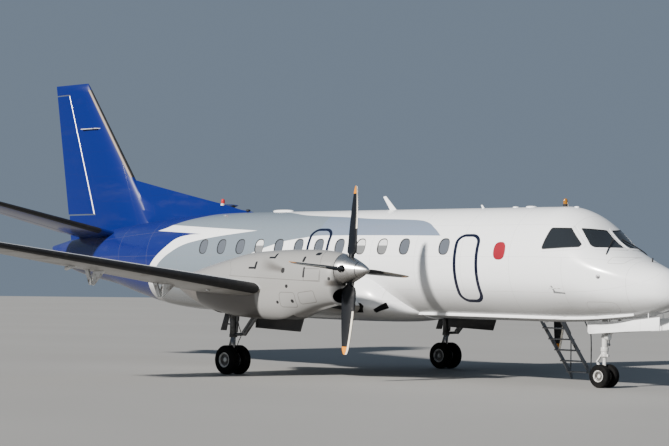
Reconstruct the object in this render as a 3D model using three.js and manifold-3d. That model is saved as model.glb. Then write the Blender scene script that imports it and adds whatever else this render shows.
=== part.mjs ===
// Twin-turboprop regional airliner, parked on its tricycle landing gear.
// Millimetres. X points forward, Y to port, Z up; the ground is Z = 0 and the
// origin lies on the ground, below the middle of the length.
import * as THREE from "three";
import { mergeVertices } from "three/addons/utils/BufferGeometryUtils.js";
import Module from "manifold-3d";

const wasm = await Module();
wasm.setup();

// Driving dimensions
const GAP = 0.3; // between pieces that touch
const MOVING_GAP = 12; // between a moving surface and what it turns in
const SKIN = 60; // wall of the hollow fuselage sections
const CABIN_RADIUS = 1155;
const NOSE_TIP_X = 9865;
const RADOME_X = 9530;
const COCKPIT_BACK_X = 6800;
const BARREL_BACK_X = -2200;
const PRESSURE_BULKHEAD_X = -5000;
const TAIL_CONE_X = -9400;
const TAIL_TIP_X = -9800;
const ENGINE_Y = 3355;
const PROP_AXIS_Z = 2218;
const PROP_PLANE_X = 4370;
const PROP_RADIUS = 1675;
const NACELLE_FRONT_X = 4200;
const MAIN_AXLE_X = 955;
const MAIN_TYRE = { radius: 305, width: 196, rim: 150, spread: 165 };
const NOSE_AXLE_X = 8095;
const NOSE_TYRE = { radius: 228.5, width: 152, rim: 112, spread: 137 };
const WING_SEMISPAN = 10720;
const WING_ROOT_Y = 1000;
const TAIL_SEMISPAN = 4625;
const FIN_TOP_Z = 6970;
const SIDES = [
  { name: "right", sign: -1 },
  { name: "left", sign: 1 },
];

// Finishes, with the colours of the photographed aircraft
function finish(color, roughness, metalness = 0) {
  return new THREE.MeshStandardMaterial({ color, roughness, metalness, flatShading: true });
}
const whitePaint = () => finish(0xeef0f1, 0.35);
const bluePaint = () => finish(0x1440b4, 0.35);
const greyPaint = () => finish(0xbfc4c8, 0.4);
const bareMetal = () => finish(0xb9bbbd, 0.3, 0.9);
const darkSteel = () => finish(0x3a3c40, 0.55, 0.5);
const blackRubber = () => finish(0x17171a, 0.75);
const darkGlass = () => finish(0x10161c, 0.08);
const blackBlade = () => finish(0x1b1c20, 0.5);

// Closed body from a geometry: only positions are kept, shared vertices are merged, faces point out.
function solid(geometry) {
  const bare = geometry.clone();
  bare.deleteAttribute("normal");
  bare.deleteAttribute("uv");
  const merged = mergeVertices(bare, 1e-3);
  const corner = merged.index.array;
  const triangles = [];
  for (let i = 0; i < corner.length; i += 3) {
    const [a, b, c] = [corner[i], corner[i + 1], corner[i + 2]];
    if (a !== b && b !== c && c !== a) triangles.push(a, b, c);
  }
  const positions = merged.attributes.position.array;
  if (signedVolume(positions, triangles) < 0) triangles.reverse();
  return new wasm.Manifold(
    new wasm.Mesh({
      numProp: 3,
      vertProperties: new Float32Array(positions),
      triVerts: new Uint32Array(triangles),
    }),
  );
}

// Six times the volume inside a closed mesh, negative where its faces point inwards
function signedVolume(positions, triangles) {
  const corner = (i) => new THREE.Vector3().fromArray(positions, 3 * triangles[i]);
  let six = 0;
  for (let i = 0; i < triangles.length; i += 3) six += corner(i).dot(corner(i + 1).cross(corner(i + 2)));
  return six;
}

const airliner = new THREE.Group();

// One named mesh of the scene, in the whole aircraft's group or in a placed one.
function addNode(name, body, material, parent = airliner) {
  const { vertProperties, triVerts } = body.getMesh();
  const geometry = new THREE.BufferGeometry();
  geometry.setAttribute("position", new THREE.BufferAttribute(vertProperties, 3));
  geometry.setIndex(new THREE.BufferAttribute(triVerts, 1));
  geometry.computeVertexNormals();
  const mesh = new THREE.Mesh(geometry, material);
  mesh.name = name;
  parent.add(mesh);
}

// A group placed at the centre of a wheel or propeller, which is then built round its own origin.
function placedGroup(x, y, z) {
  const group = new THREE.Group();
  group.position.set(x, y, z);
  airliner.add(group);
  return group;
}

function box(xLow, xHigh, yLow, yHigh, zLow, zHigh) {
  const shape = new THREE.BoxGeometry(xHigh - xLow, yHigh - yLow, zHigh - zLow);
  shape.translate((xLow + xHigh) / 2, (yLow + yHigh) / 2, (zLow + zHigh) / 2);
  return solid(shape);
}

// The same box on either side of the aircraft: y is measured outwards from the middle.
function sideBox(sign, xLow, xHigh, yInner, yOuter, zLow, zHigh) {
  const ends = [sign * yInner, sign * yOuter];
  return box(xLow, xHigh, Math.min(...ends), Math.max(...ends), zLow, zHigh);
}

// Round bar between two points, with a second radius where it tapers.
function rod(from, to, radius, endRadius = radius, sides = radius > 40 ? 18 : 12) {
  const start = new THREE.Vector3(...from);
  const end = new THREE.Vector3(...to);
  const along = end.clone().sub(start);
  const shape = new THREE.CylinderGeometry(endRadius, radius, along.length(), sides);
  const turn = new THREE.Quaternion().setFromUnitVectors(
    new THREE.Vector3(0, 1, 0),
    along.clone().normalize(),
  );
  shape.applyQuaternion(turn);
  const middle = start.add(end).multiplyScalar(0.5);
  shape.translate(middle.x, middle.y, middle.z);
  return solid(shape);
}

// Bars of a table joined in one: each row gives a bar's two ends and its radius.
function bars(table, place) {
  return table
    .map(({ from, to, radius }) => rod(place(...from), place(...to), radius))
    .reduce((whole, bar) => whole.add(bar));
}

// Plate with an outline in side view (x, z), between two values of y.
function sidePlate(outline, yLow, yHigh) {
  const shape = new THREE.Shape(outline.map(([x, z]) => new THREE.Vector2(x, z)));
  const plate = new THREE.ExtrudeGeometry(shape, { depth: yHigh - yLow, bevelEnabled: false });
  plate.rotateX(Math.PI / 2);
  plate.translate(0, yHigh, 0);
  return solid(plate);
}

// Plate with an outline in front view (y, z), between two values of x.
function frontPlate(outline, xLow, xHigh) {
  const shape = new THREE.Shape(outline.map(([y, z]) => new THREE.Vector2(y, z)));
  const plate = new THREE.ExtrudeGeometry(shape, { depth: xHigh - xLow, bevelEnabled: false });
  plate.rotateX(Math.PI / 2);
  plate.rotateZ(Math.PI / 2);
  plate.translate(xLow, 0, 0);
  return solid(plate);
}

// Turned body about a line parallel to X or Y, from (distance along, radius) points.
function turned(profile, axis, sides) {
  const points = profile.map(([along, radius]) => new THREE.Vector2(radius, along));
  const shape = new THREE.LatheGeometry(points, sides);
  if (axis === "x") shape.rotateZ(-Math.PI / 2);
  return solid(shape);
}

// Skin through rings of equal length, closed by a flat cap at each end.
function loft(rings) {
  const count = rings[0].length;
  const points = rings.flat();
  const index = [];
  for (let ring = 0; ring + 1 < rings.length; ring++) {
    for (let k = 0; k < count; k++) {
      const a = ring * count + k;
      const b = ring * count + ((k + 1) % count);
      index.push(a, b, a + count, b, b + count, a + count);
    }
  }
  const lastStart = (rings.length - 1) * count;
  for (const [a, b, c] of capTriangles(rings[0])) index.push(a, c, b);
  for (const [a, b, c] of capTriangles(rings.at(-1))) {
    index.push(lastStart + a, lastStart + b, lastStart + c);
  }
  const shape = new THREE.BufferGeometry().setFromPoints(points);
  shape.setIndex(index);
  return solid(shape);
}

// Triangles of a flat ring that run round it in the ring's own order.
function capTriangles(ring) {
  const spanX = Math.max(...ring.map((p) => p.x)) - Math.min(...ring.map((p) => p.x));
  const spanZ = Math.max(...ring.map((p) => p.z)) - Math.min(...ring.map((p) => p.z));
  const flat = ring.map((p) =>
    spanX < 1 ? new THREE.Vector2(p.y, p.z)
      : spanZ < 1 ? new THREE.Vector2(p.x, p.y)
        : new THREE.Vector2(p.x, p.z),
  );
  const clockwise = THREE.ShapeUtils.isClockWise(flat);
  const faces = THREE.ShapeUtils.triangulateShape(flat, []);
  return faces.map(([a, b, c]) => {
    const facesClockwise = THREE.ShapeUtils.isClockWise([flat[a], flat[b], flat[c]]);
    return facesClockwise === clockwise ? [a, b, c] : [a, c, b];
  });
}

// All columns of a table at one station, on a smooth cubic through its rows.
function rowAt(table, x) {
  const last = table.length - 1;
  const found = table.findIndex((row) => row[0] >= x);
  const low = Math.min(Math.max(found - 1, 0), last - 1);
  const [a, b] = [table[low], table[low + 1]];
  const width = b[0] - a[0];
  const t = (x - a[0]) / width;
  const slope = (i, column) => {
    const before = table[Math.max(i - 1, 0)];
    const after = table[Math.min(i + 1, last)];
    return (after[column] - before[column]) / (after[0] - before[0]);
  };
  return a.map((value, column) => {
    const rise = b[column] - value;
    const startSlope = slope(low, column) * width;
    const endSlope = slope(low + 1, column) * width;
    const bend = startSlope + endSlope - 2 * rise;
    return value + t * (startSlope + t * (rise - startSlope - bend + t * bend));
  });
}

// Cross-section of a body at station x: upper and lower half ovals that share their widest line.
// Table columns: x, top z, bottom z, half width, z of the widest line, squareness (2 is an ellipse).
function bodyRing(table, x, sides, grow = 0, middleY = 0) {
  const [, top, bottom, half, widest, squareness] = rowAt(table, x);
  return Array.from({ length: sides }, (_, k) => {
    const angle = (2 * Math.PI * k) / sides;
    const out = Math.sign(Math.cos(angle)) * Math.abs(Math.cos(angle)) ** (2 / squareness);
    const up = Math.sign(Math.sin(angle)) * Math.abs(Math.sin(angle)) ** (2 / squareness);
    const reach = Math.max((up > 0 ? top - widest : widest - bottom) + grow, 5);
    return new THREE.Vector3(x, middleY + out * Math.max(half + grow, 5), widest + up * reach);
  });
}

function bodyLoft(table, stations, sides, grow = 0, middleY = 0) {
  return loft(stations.map((x) => bodyRing(table, x, sides, grow, middleY)));
}

// Half width of a body's skin at station x and height z.
function skinY(table, x, z) {
  const [, top, bottom, half, widest, squareness] = rowAt(table, x);
  const reach = z > widest ? top - widest : widest - bottom;
  const share = Math.min(Math.abs(z - widest) / reach, 1);
  return half * (1 - share ** squareness) ** (1 / squareness);
}

// Fuselage: x, top z, bottom z, half width, z of the widest line, squareness
const FUSELAGE = [
  [-9800, 2790, 2640, 70, 2715, 2],
  [-9400, 2865, 2345, 215, 2625, 2],
  [-8800, 2985, 2140, 355, 2590, 2],
  [-8000, 3110, 1975, 500, 2560, 2],
  [-7000, 3240, 1828, 670, 2530, 2],
  [-6000, 3350, 1590, 820, 2495, 2],
  [-5000, 3440, 1385, 955, 2460, 2],
  [-4000, 3515, 1282, 1062, 2435, 2],
  [-3000, 3555, 1257, 1130, 2415, 2],
  [-2200, 3565, 1255, 1155, 2410, 2],
  [-1400, 3565, 1255, 1155, 2410, 2],
  [6100, 3565, 1255, 1155, 2410, 2],
  [6900, 3563, 1258, 1153, 2405, 2.02],
  [7400, 3542, 1275, 1140, 2375, 2.04],
  [7900, 3329, 1297, 1095, 2320, 2.02],
  [8400, 2865, 1330, 1000, 2235, 2.14],
  [8900, 2579, 1382, 835, 2140, 2.19],
  [9300, 2416, 1448, 645, 2055, 2.1],
  [9600, 2296, 1540, 470, 1985, 2.05],
  [9750, 2169, 1632, 325, 1940, 2],
  [9830, 2040, 1735, 195, 1912, 2],
  [9865, 1950, 1850, 60, 1900, 2],
];
const FUSELAGE_SIDES = 32;
const RADOME_STATIONS = [RADOME_X, 9600, 9690, 9750, 9800, 9845, NOSE_TIP_X];
const NOSE_STATIONS = [
  COCKPIT_BACK_X, 7150, 7400, 7650, 7900, 8150, 8400, 8650, 8900, 9100, 9300, RADOME_X,
];
const CABIN_STATIONS = [BARREL_BACK_X, 1000, 4200, 6100, COCKPIT_BACK_X];
const AFT_STATIONS = [PRESSURE_BULKHEAD_X, -4000, -3000, BARREL_BACK_X];
const TAIL_STATIONS = [TAIL_CONE_X, -8800, -8000, -7000, -6000, PRESSURE_BULKHEAD_X];
const CONE_STATIONS = [TAIL_TIP_X, -9650, TAIL_CONE_X];

// Stations pulled in by half the gap at each end.
function fitted(stations) {
  const inner = stations.slice(1, -1);
  return [stations[0] + GAP / 2, ...inner, stations.at(-1) - GAP / 2];
}

const wholeFuselage = bodyLoft(
  FUSELAGE,
  [...CONE_STATIONS, ...TAIL_STATIONS.slice(1), ...AFT_STATIONS.slice(1), ...CABIN_STATIONS.slice(1),
    ...NOSE_STATIONS.slice(1), ...RADOME_STATIONS.slice(1)],
  FUSELAGE_SIDES,
  GAP,
);
const fuselagePiece = (stations) => bodyLoft(FUSELAGE, fitted(stations), FUSELAGE_SIDES);

addNode("radome", fuselagePiece(RADOME_STATIONS), whitePaint());

// Nose section: cockpit hollow behind its windows, and the nose wheel well below its floor
const COCKPIT_FLOOR_Z = 1900;
const GLASS = 25;
const NOSE_WELL = { xLow: 7830, xHigh: 9490, halfWidth: 228, roofZ: 1780, frontRoofZ: 1640 };
// Side window in side view (x, z) and half windscreen in front view (y, z), low inner corner first
const SIDE_WINDOW = [
  [8215, 2735],
  [7345, 2680],
  [7440, 3120],
  [7825, 3115],
];
const WINDSCREEN = [
  [62, 2738],
  [761, 2730],
  [637, 3115],
  [62, 3085],
];
const PANE_SHARE = 0.985; // a pane's size against its opening's
const shrunk = (outline, share) => {
  const middle = [0, 1].map((k) => outline.reduce((sum, point) => sum + point[k], 0) / outline.length);
  return outline.map((point) => point.map((value, k) => middle[k] + share * (value - middle[k])));
};
const windowCutters = [];
for (const { name, sign } of SIDES) {
  const sideHole = (share) => {
    const ends = [sign * 500, sign * 1300];
    return sidePlate(shrunk(SIDE_WINDOW, share), Math.min(...ends), Math.max(...ends));
  };
  const screenHole = (share) =>
    frontPlate(shrunk(WINDSCREEN, share).map(([y, z]) => [sign * y, z]), 7900, 9400);
  const paneSkin = bodyLoft(FUSELAGE, NOSE_STATIONS, FUSELAGE_SIDES).subtract(
    bodyLoft(FUSELAGE, [6700, ...NOSE_STATIONS.slice(1, -1), 9600], FUSELAGE_SIDES, -GLASS),
  );
  windowCutters.push(sideHole(1), screenHole(1));
  addNode(`side_window_${name}`, paneSkin.intersect(sideHole(PANE_SHARE)), darkGlass());
  addNode(`windscreen_${name}`, paneSkin.intersect(screenHole(PANE_SHARE)), darkGlass());
}
const COCKPIT_FRONT_X = 9010;
const cockpitHollow = bodyLoft(
  FUSELAGE, [6700, ...NOSE_STATIONS.slice(1, -3), COCKPIT_FRONT_X], FUSELAGE_SIDES, -SKIN,
).intersect(box(6700, COCKPIT_FRONT_X, -1200, 1200, COCKPIT_FLOOR_Z, 3600));
const noseWell = sidePlate(
  [
    [NOSE_WELL.xLow, 1000],
    [NOSE_WELL.xHigh, 1000],
    [NOSE_WELL.xHigh, NOSE_WELL.frontRoofZ],
    [COCKPIT_FRONT_X, NOSE_WELL.roofZ],
    [NOSE_WELL.xLow, NOSE_WELL.roofZ],
  ],
  -NOSE_WELL.halfWidth,
  NOSE_WELL.halfWidth,
);
let nose = fuselagePiece(NOSE_STATIONS).subtract(cockpitHollow).subtract(noseWell);
for (const cutter of windowCutters) nose = nose.subtract(cutter);
addNode("nose_fuselage", nose, whitePaint());

// Cockpit furniture on one floor plate: two seats, centre console and instrument panel
const FLOOR_TOP_Z = 1930;
// Part, x low and high, y from the middle outwards low and high, z low and high
const FURNITURE = [
  ["console", 7900, 8500, -1, 130, 1925, 2350],
  ["instrument panel", 8300, 8540, -1, 520, 1925, 2560],
  ["seat cushion", 7360, 7860, 190, 620, 1925, 2290],
  ["seat back", 7300, 7430, 190, 620, 2200, 2850],
  ["headrest", 7310, 7410, 300, 510, 2800, 3010],
];
let furniture = box(6900, 8700, -620, 620, COCKPIT_FLOOR_Z + GAP, FLOOR_TOP_Z);
for (const { sign } of SIDES) {
  for (const [, ...limits] of FURNITURE) furniture = furniture.add(sideBox(sign, ...limits));
}
addNode("cockpit_interior", furniture, finish(0x35373c, 0.8));

// Cabin barrel, with the entry vestibule behind the open passenger door on the port side
const DOOR = { xLow: 5475, xHigh: 6165, sillZ: 1630, topZ: 3230, depth: 780 };
const vestibule = box(
  DOOR.xLow, DOOR.xHigh, CABIN_RADIUS - DOOR.depth, CABIN_RADIUS + 100, DOOR.sillZ, DOOR.topZ,
);
const noseJackPad = rod([6600, 0, 1400], [6600, 0, 1235], 50);
addNode(
  "cabin_fuselage",
  fuselagePiece(CABIN_STATIONS).subtract(vestibule).add(noseJackPad),
  whitePaint(),
);

// Rear baggage hold above its floor, closed by the cabin in front and the pressure bulkhead behind
const HOLD_FLOOR_Z = 1640;
const hold = bodyLoft(
  FUSELAGE, [PRESSURE_BULKHEAD_X + SKIN, -4000, -3000, BARREL_BACK_X + 10], FUSELAGE_SIDES, -SKIN,
).intersect(box(-5500, -2000, -1200, 1200, HOLD_FLOOR_Z, 3600));
addNode("aft_fuselage", fuselagePiece(AFT_STATIONS).subtract(hold), bluePaint());

// Tail section behind the rear pressure bulkhead is a thin shell
const tailHollow = bodyLoft(
  FUSELAGE, [-9200, -8800, -8000, -7000, -6000, PRESSURE_BULKHEAD_X + 10], FUSELAGE_SIDES, -SKIN,
);
addNode("tail_section", fuselagePiece(TAIL_STATIONS).subtract(tailHollow), bluePaint());
addNode("tail_cone", fuselagePiece(CONE_STATIONS), bluePaint());

// Wing-body fairing under the cabin: same columns as the fuselage
const FAIRING = [
  [-1800, 1500, 1262, 420, 1400, 2],
  [-900, 1950, 1180, 1060, 1530, 2.2],
  [0, 2280, 1150, 1320, 1600, 2.4],
  [1200, 2420, 1140, 1375, 1620, 2.5],
  [2200, 2420, 1140, 1370, 1600, 2.5],
  [2850, 2270, 1150, 1270, 1540, 2.4],
  [3300, 1860, 1180, 980, 1470, 2.2],
  [3650, 1500, 1240, 480, 1400, 2],
];
const FAIRING_STATIONS = [-1800, -1350, -900, 0, 1200, 2200, 2850, 3100, 3300, 3500, 3650];
const FAIRING_SIDES = 28;
const fairing = bodyLoft(FAIRING, FAIRING_STATIONS, FAIRING_SIDES);
const fairingGrown = bodyLoft(FAIRING, FAIRING_STATIONS, FAIRING_SIDES, GAP);
addNode("wing_body_fairing", fairing.subtract(wholeFuselage), whitePaint());

// Long strake along each lower side of the nose and cabin
const STRAKE = { backX: 3560, frontX: 9050, halfHeight: 48, proud: 34, sunk: 40 };
const STRAKE_STATIONS = [STRAKE.backX, 5000, 6500, 7500, 8200, 8700, STRAKE.frontX];
const strakeZ = (x) => 1365 + Math.max(x - 7300, 0) ** 2 * 3.6e-5;
for (const { name, sign } of SIDES) {
  const rings = STRAKE_STATIONS.map((x) => {
    const z = strakeZ(x);
    const inner = skinY(FUSELAGE, x, z) - STRAKE.sunk;
    const outer = skinY(FUSELAGE, x, z) + STRAKE.proud * (x < STRAKE.frontX ? 1 : -0.4);
    return [
      new THREE.Vector3(x, sign * outer, z - STRAKE.halfHeight),
      new THREE.Vector3(x, sign * outer, z + STRAKE.halfHeight * 0.2),
      new THREE.Vector3(x, sign * inner, z + STRAKE.halfHeight),
      new THREE.Vector3(x, sign * inner, z - STRAKE.halfHeight),
    ];
  });
  const strake = loft(rings).subtract(wholeFuselage).subtract(fairingGrown);
  addNode(`belly_strake_${name}`, strake, whitePaint());
}

// Half thickness and middle line of an aerofoil at a fraction of its chord, as chord fractions
const halfThickness = (thickness, along) =>
  5 * thickness * (0.2969 * Math.sqrt(along) - 0.126 * along - 0.3516 * along ** 2
    + 0.2843 * along ** 3 - 0.0995 * along ** 4);
const middleLine = (camber, along) => 4 * camber * along * (1 - along);

// Aerofoil outline as (chord fraction, height fraction), from the trailing edge over the top and back.
const AEROFOIL_STEPS = 9;
function aerofoil(thickness, camber) {
  return Array.from({ length: 2 * AEROFOIL_STEPS + 1 }, (_, k) => {
    const along = 0.5 * (1 + Math.cos((Math.PI * k) / AEROFOIL_STEPS));
    const side = k <= AEROFOIL_STEPS ? 1 : -1;
    return [along, middleLine(camber, along) + side * halfThickness(thickness, along)];
  });
}

// Outline of a hinged surface: the aerofoil behind its hinge, and a half-round nose about the hinge.
const NOSE_ANGLES = [90, 60, 30, 0, -30, -60, -90].map(THREE.MathUtils.degToRad);
const SURFACE_SHARES = [1, 0.8, 0.55, 0.25];
function hingedSection(thickness, camber, hinge) {
  const radius = halfThickness(thickness, hinge);
  const skin = (side) =>
    SURFACE_SHARES.map((share) => {
      const along = hinge + share * (1 - hinge);
      return [along, middleLine(camber, along) + side * halfThickness(thickness, along)];
    });
  const nose = NOSE_ANGLES.map((angle) => [
    hinge - radius * Math.cos(angle),
    middleLine(camber, hinge) + radius * Math.sin(angle),
  ]);
  return [...skin(1), ...nose, ...skin(-1).reverse()];
}

// Wing: leading edge, chord and thickness as straight lines along the span
const WING = {
  leadX: (y) => 2787 - 0.1042 * y,
  leadZ: (y) => 1804 + 0.1228 * (y - 3900),
  chord: (y) => 2837 - 0.1652 * y,
  thickness: (y) => 0.162 - 0.0000042 * y,
  camber: 0.018,
  incidence: THREE.MathUtils.degToRad(1.5),
};

// Point of the wing's section at span y: fraction of the chord, and height in mm above its line.
function wingPoint(sign, y, along, height) {
  const back = along * WING.chord(y);
  const x = WING.leadX(y) - back * Math.cos(WING.incidence) - height * Math.sin(WING.incidence);
  const z = WING.leadZ(y) - back * Math.sin(WING.incidence) + height * Math.cos(WING.incidence);
  return new THREE.Vector3(x, sign * y, z);
}

// Closed ring of the wing's section; grow thickens it in mm, shrink flattens it towards the tip.
function wingRing(sign, y, grow = 0, shrink = 1) {
  const chord = WING.chord(y);
  return aerofoil(WING.thickness(y) * shrink, WING.camber).map(([along, high]) => {
    const spread = grow * Math.sign(high - middleLine(WING.camber, along));
    const slide = ((0.5 - along) * 2 * grow) / chord;
    return wingPoint(sign, y, along - slide, high * chord + spread);
  });
}
const WING_STATIONS = [WING_ROOT_Y, ENGINE_Y, 7300, 10500];
const wingBody = (sign, grow = 0) =>
  loft([
    ...WING_STATIONS.map((y) => wingRing(sign, y, grow)),
    wingRing(sign, 10660, grow, 0.7),
    wingRing(sign, WING_SEMISPAN, grow, 0.25),
  ]);

// Block between two spans and two chord fractions, well above and below the wing
function wingSlab(sign, yInner, yOuter, front, back) {
  const ring = (y) => [
    wingPoint(sign, y, front, 900),
    wingPoint(sign, y, back, 900),
    wingPoint(sign, y, back, -900),
    wingPoint(sign, y, front, -900),
  ];
  return loft([ring(yInner), ring(yOuter)]);
}

// Trailing-edge surfaces: hinge is the chord fraction of the middle of the round nose
const FLAPS = [
  { name: "flap_inner", yInner: 1440, yOuter: 2690, hinge: 0.755, bracketsY: [1690, 2440] },
  { name: "flap_outer", yInner: 4020, yOuter: 7230, hinge: 0.755, bracketsY: [5200, 7000] },
];
const AILERON = { name: "aileron", yInner: 7345, yOuter: 10350, hinge: 0.77 };
const FLAP_END_ROOM = 70;
const AILERON_END_ROOM = 30;
const BRACKET_WIDTH = 44;
const BRACKET_GAP = 14;
const JACK_PAD = { x: 1650, y: 4700, z: 1745, topZ: 1850, radius: 45 };
const WING_BOOT = { yInner: 3960, yOuter: 10450, width: 0.075 };

// Section of a trailing-edge surface at span y, and the chord fraction where the wing ends ahead of it
const surfaceRing = (sign, y, { hinge }) =>
  hingedSection(WING.thickness(y), WING.camber, hinge).map(([along, high]) =>
    wingPoint(sign, y, along, high * WING.chord(y)),
  );
const cutFront = ({ yInner, hinge }) =>
  hinge - halfThickness(WING.thickness(yInner), hinge) - MOVING_GAP / WING.chord(yInner);
const surfaceBody = (sign, surface) =>
  loft([surfaceRing(sign, surface.yInner, surface), surfaceRing(sign, surface.yOuter, surface)]);

// Halves of a drop-hinge bracket, as (chord fraction, height in mm): the wing's half and the flap's half
const FIXED_BRACKET = [[0.55, -60], [0.7, -60], [0.785, -250], [0.765, -330], [0.735, -330]];
const MOVING_BRACKET = [[0.79, -30], [0.86, -30], [0.8, -250], [0.775, -330], [0.74, -320], [0.74, -260]];
// Pod under the wing at the aileron's inner hinge: its two ends
const HINGE_POD = { y: 7700, from: [0.4, -20], to: [0.71, -105], radius: 20, endRadius: 42 };

function bracketHalf(outline, sign, y, yFrom, yTo) {
  const sideView = outline.map(([along, height]) => {
    const point = wingPoint(sign, y, along, height);
    return [point.x, point.z];
  });
  const ends = [sign * yFrom, sign * yTo];
  return sidePlate(sideView, Math.min(...ends), Math.max(...ends));
}

for (const { name, sign } of SIDES) {
  let wing = wingBody(sign);
  for (const surface of [...FLAPS, AILERON]) {
    const room = surface === AILERON ? AILERON_END_ROOM : FLAP_END_ROOM;
    const inner = surface.yInner - AILERON_END_ROOM / 2;
    wing = wing.subtract(wingSlab(sign, inner, surface.yOuter + room, cutFront(surface), 1.1));
  }
  for (const flap of FLAPS) {
    let body = surfaceBody(sign, flap);
    for (const y of flap.bracketsY) {
      wing = wing.add(bracketHalf(FIXED_BRACKET, sign, y, y - BRACKET_WIDTH, y - BRACKET_GAP / 2));
      body = body.add(bracketHalf(MOVING_BRACKET, sign, y, y + BRACKET_GAP / 2, y + BRACKET_WIDTH));
    }
    addNode(`${flap.name}_${name}`, body, greyPaint());
  }
  const podEnd = (point) => wingPoint(sign, HINGE_POD.y, ...point).toArray();
  const pod = rod(podEnd(HINGE_POD.from), podEnd(HINGE_POD.to), HINGE_POD.radius, HINGE_POD.endRadius);
  const padEnd = (z) => [JACK_PAD.x, sign * JACK_PAD.y, z];
  const pad = rod(padEnd(JACK_PAD.topZ), padEnd(JACK_PAD.z), JACK_PAD.radius);
  wing = wing.add(pod).add(pad);

  // Rubber de-icing boot on the outer leading edge
  const bootSlab = (room) => {
    const { yInner, yOuter, width } = WING_BOOT;
    return wingSlab(sign, yInner + room, yOuter - room, -0.02, width - room / 1500);
  };
  wing = wing.subtract(bootSlab(0)).subtract(fairingGrown);
  addNode(`wing_${name}`, wing, greyPaint());
  addNode(`wing_boot_${name}`, wingBody(sign).intersect(bootSlab(GAP)), blackRubber());
  addNode(`aileron_${name}`, surfaceBody(sign, AILERON), greyPaint());
}

// Engine nacelle about its own middle: same columns as the fuselage
const NACELLE = [
  [-900, 1990, 1830, 60, 1910, 2],
  [-500, 2090, 1640, 220, 1890, 2],
  [0, 2205, 1440, 370, 1880, 2.2],
  [580, 2336, 1290, 480, 1870, 2.4],
  [1150, 2452, 1205, 545, 1880, 2.6],
  [1600, 2540, 1170, 565, 1890, 2.7],
  [2080, 2585, 1152, 572, 1895, 2.7],
  [2760, 2615, 1152, 565, 1900, 2.6],
  [3200, 2619, 1285, 535, 1940, 2.4],
  [3600, 2612, 1420, 480, 1985, 2.3],
  [3900, 2588, 1490, 430, 2010, 2.25],
  [4060, 2565, 1522, 390, 2030, 2.2],
  [4130, 2552, 1540, 365, 2060, 2.15],
  [NACELLE_FRONT_X, 2538, 1890, 325, 2210, 2],
];
const NACELLE_STATIONS = [
  -900, -500, 0, 580, 1150, 1600, 2080, 2760, 3000, 3200, 3600, 3900, 4130, NACELLE_FRONT_X,
];
const NACELLE_SIDES = 24;
const COWL = { splitZ: 2070, backX: 1950, wall: 30 };
const WELL = { xLow: 640, xHigh: 3060, halfWidth: 285, roofZ: 1590 };
const ENGINE = { xLow: 2620, xHigh: 3780, halfWidth: 275, zLow: 1935, zHigh: 2400 };
const INTAKE = { z: 1705, halfWidth: 255, halfHeight: 150, backX: 3450, frontX: 4250 };

// Exhaust stub on the port side of both nacelles: its two ends from the nacelle's middle line
const EXHAUST = { from: [2750, 420, 2130], to: [2330, 700, 2130], radius: 125, bore: 105 };
const SHAFT_HOLE_RADIUS = 130;

for (const { name, sign } of SIDES) {
  const y = sign * ENGINE_Y;
  const outside = bodyLoft(NACELLE, NACELLE_STATIONS, NACELLE_SIDES, 0, y);
  const inside = bodyLoft(
    NACELLE, [1990, 2080, 2760, 3200, 3600, 3900, 4160], NACELLE_SIDES, -COWL.wall, y,
  );
  const across = (half, ...rest) => [y - half, y + half, ...rest];
  const upper = (room) => box(COWL.backX - room, 4300, ...across(700, COWL.splitZ - room, 2700));
  const shaftHole = rod([3850, y, PROP_AXIS_Z], [4300, y, PROP_AXIS_Z], SHAFT_HOLE_RADIUS);
  const cowl = outside.intersect(upper(0)).subtract(inside).subtract(shaftHole);
  addNode(`engine_cowl_${name}`, cowl, greyPaint());

  const duct = solid(
    new THREE.CylinderGeometry(1, 1, 1, 20)
      .rotateZ(Math.PI / 2)
      .scale(INTAKE.frontX - INTAKE.backX, INTAKE.halfWidth, INTAKE.halfHeight)
      .translate((INTAKE.frontX + INTAKE.backX) / 2, y, INTAKE.z),
  );
  let nacelle = outside
    .subtract(upper(GAP))
    .subtract(box(ENGINE.xLow - 40, 3900, ...across(ENGINE.halfWidth + 25, ENGINE.zLow - 40, 2200)))
    .subtract(box(WELL.xLow, WELL.xHigh, ...across(WELL.halfWidth, 900, WELL.roofZ)))
    .subtract(duct)
    .subtract(shaftHole)
    .subtract(wingBody(sign, GAP + 0.2));
  for (const flap of FLAPS) {
    const inboard = flap.yInner < ENGINE_Y;
    const near = inboard ? [flap.yOuter - 600, flap.yOuter + 30] : [flap.yInner - 30, flap.yInner + 600];
    nacelle = nacelle.subtract(wingSlab(sign, ...near, 0.7, 1.5));
  }
  addNode(`nacelle_${name}`, nacelle, greyPaint());
  const block = box(ENGINE.xLow, ENGINE.xHigh, ...across(ENGINE.halfWidth, ENGINE.zLow, ENGINE.zHigh));
  addNode(`engine_${name}`, block, darkSteel());

  const from = new THREE.Vector3(...EXHAUST.from).setY(y + EXHAUST.from[1]);
  const to = new THREE.Vector3(...EXHAUST.to).setY(y + EXHAUST.to[1]);
  const bore = rod(from.clone().lerp(to, 0.25).toArray(), from.clone().lerp(to, 1.1).toArray(), EXHAUST.bore);
  const grown = bodyLoft(NACELLE, NACELLE_STATIONS, NACELLE_SIDES, GAP, y);
  const pipe = rod(from.toArray(), to.toArray(), EXHAUST.radius).subtract(bore).subtract(grown);
  addNode(`exhaust_${name}`, pipe, finish(0x6d6259, 0.45, 0.8));
}

// Propeller: four feathered blades on a hub, and the polished spinner over it
const HUB = { radius: 150, half: 95, shaftRadius: 60, shaftBackX: -420 };
const SPINNER_BASE_X = NACELLE_FRONT_X + 15 - PROP_PLANE_X;
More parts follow.
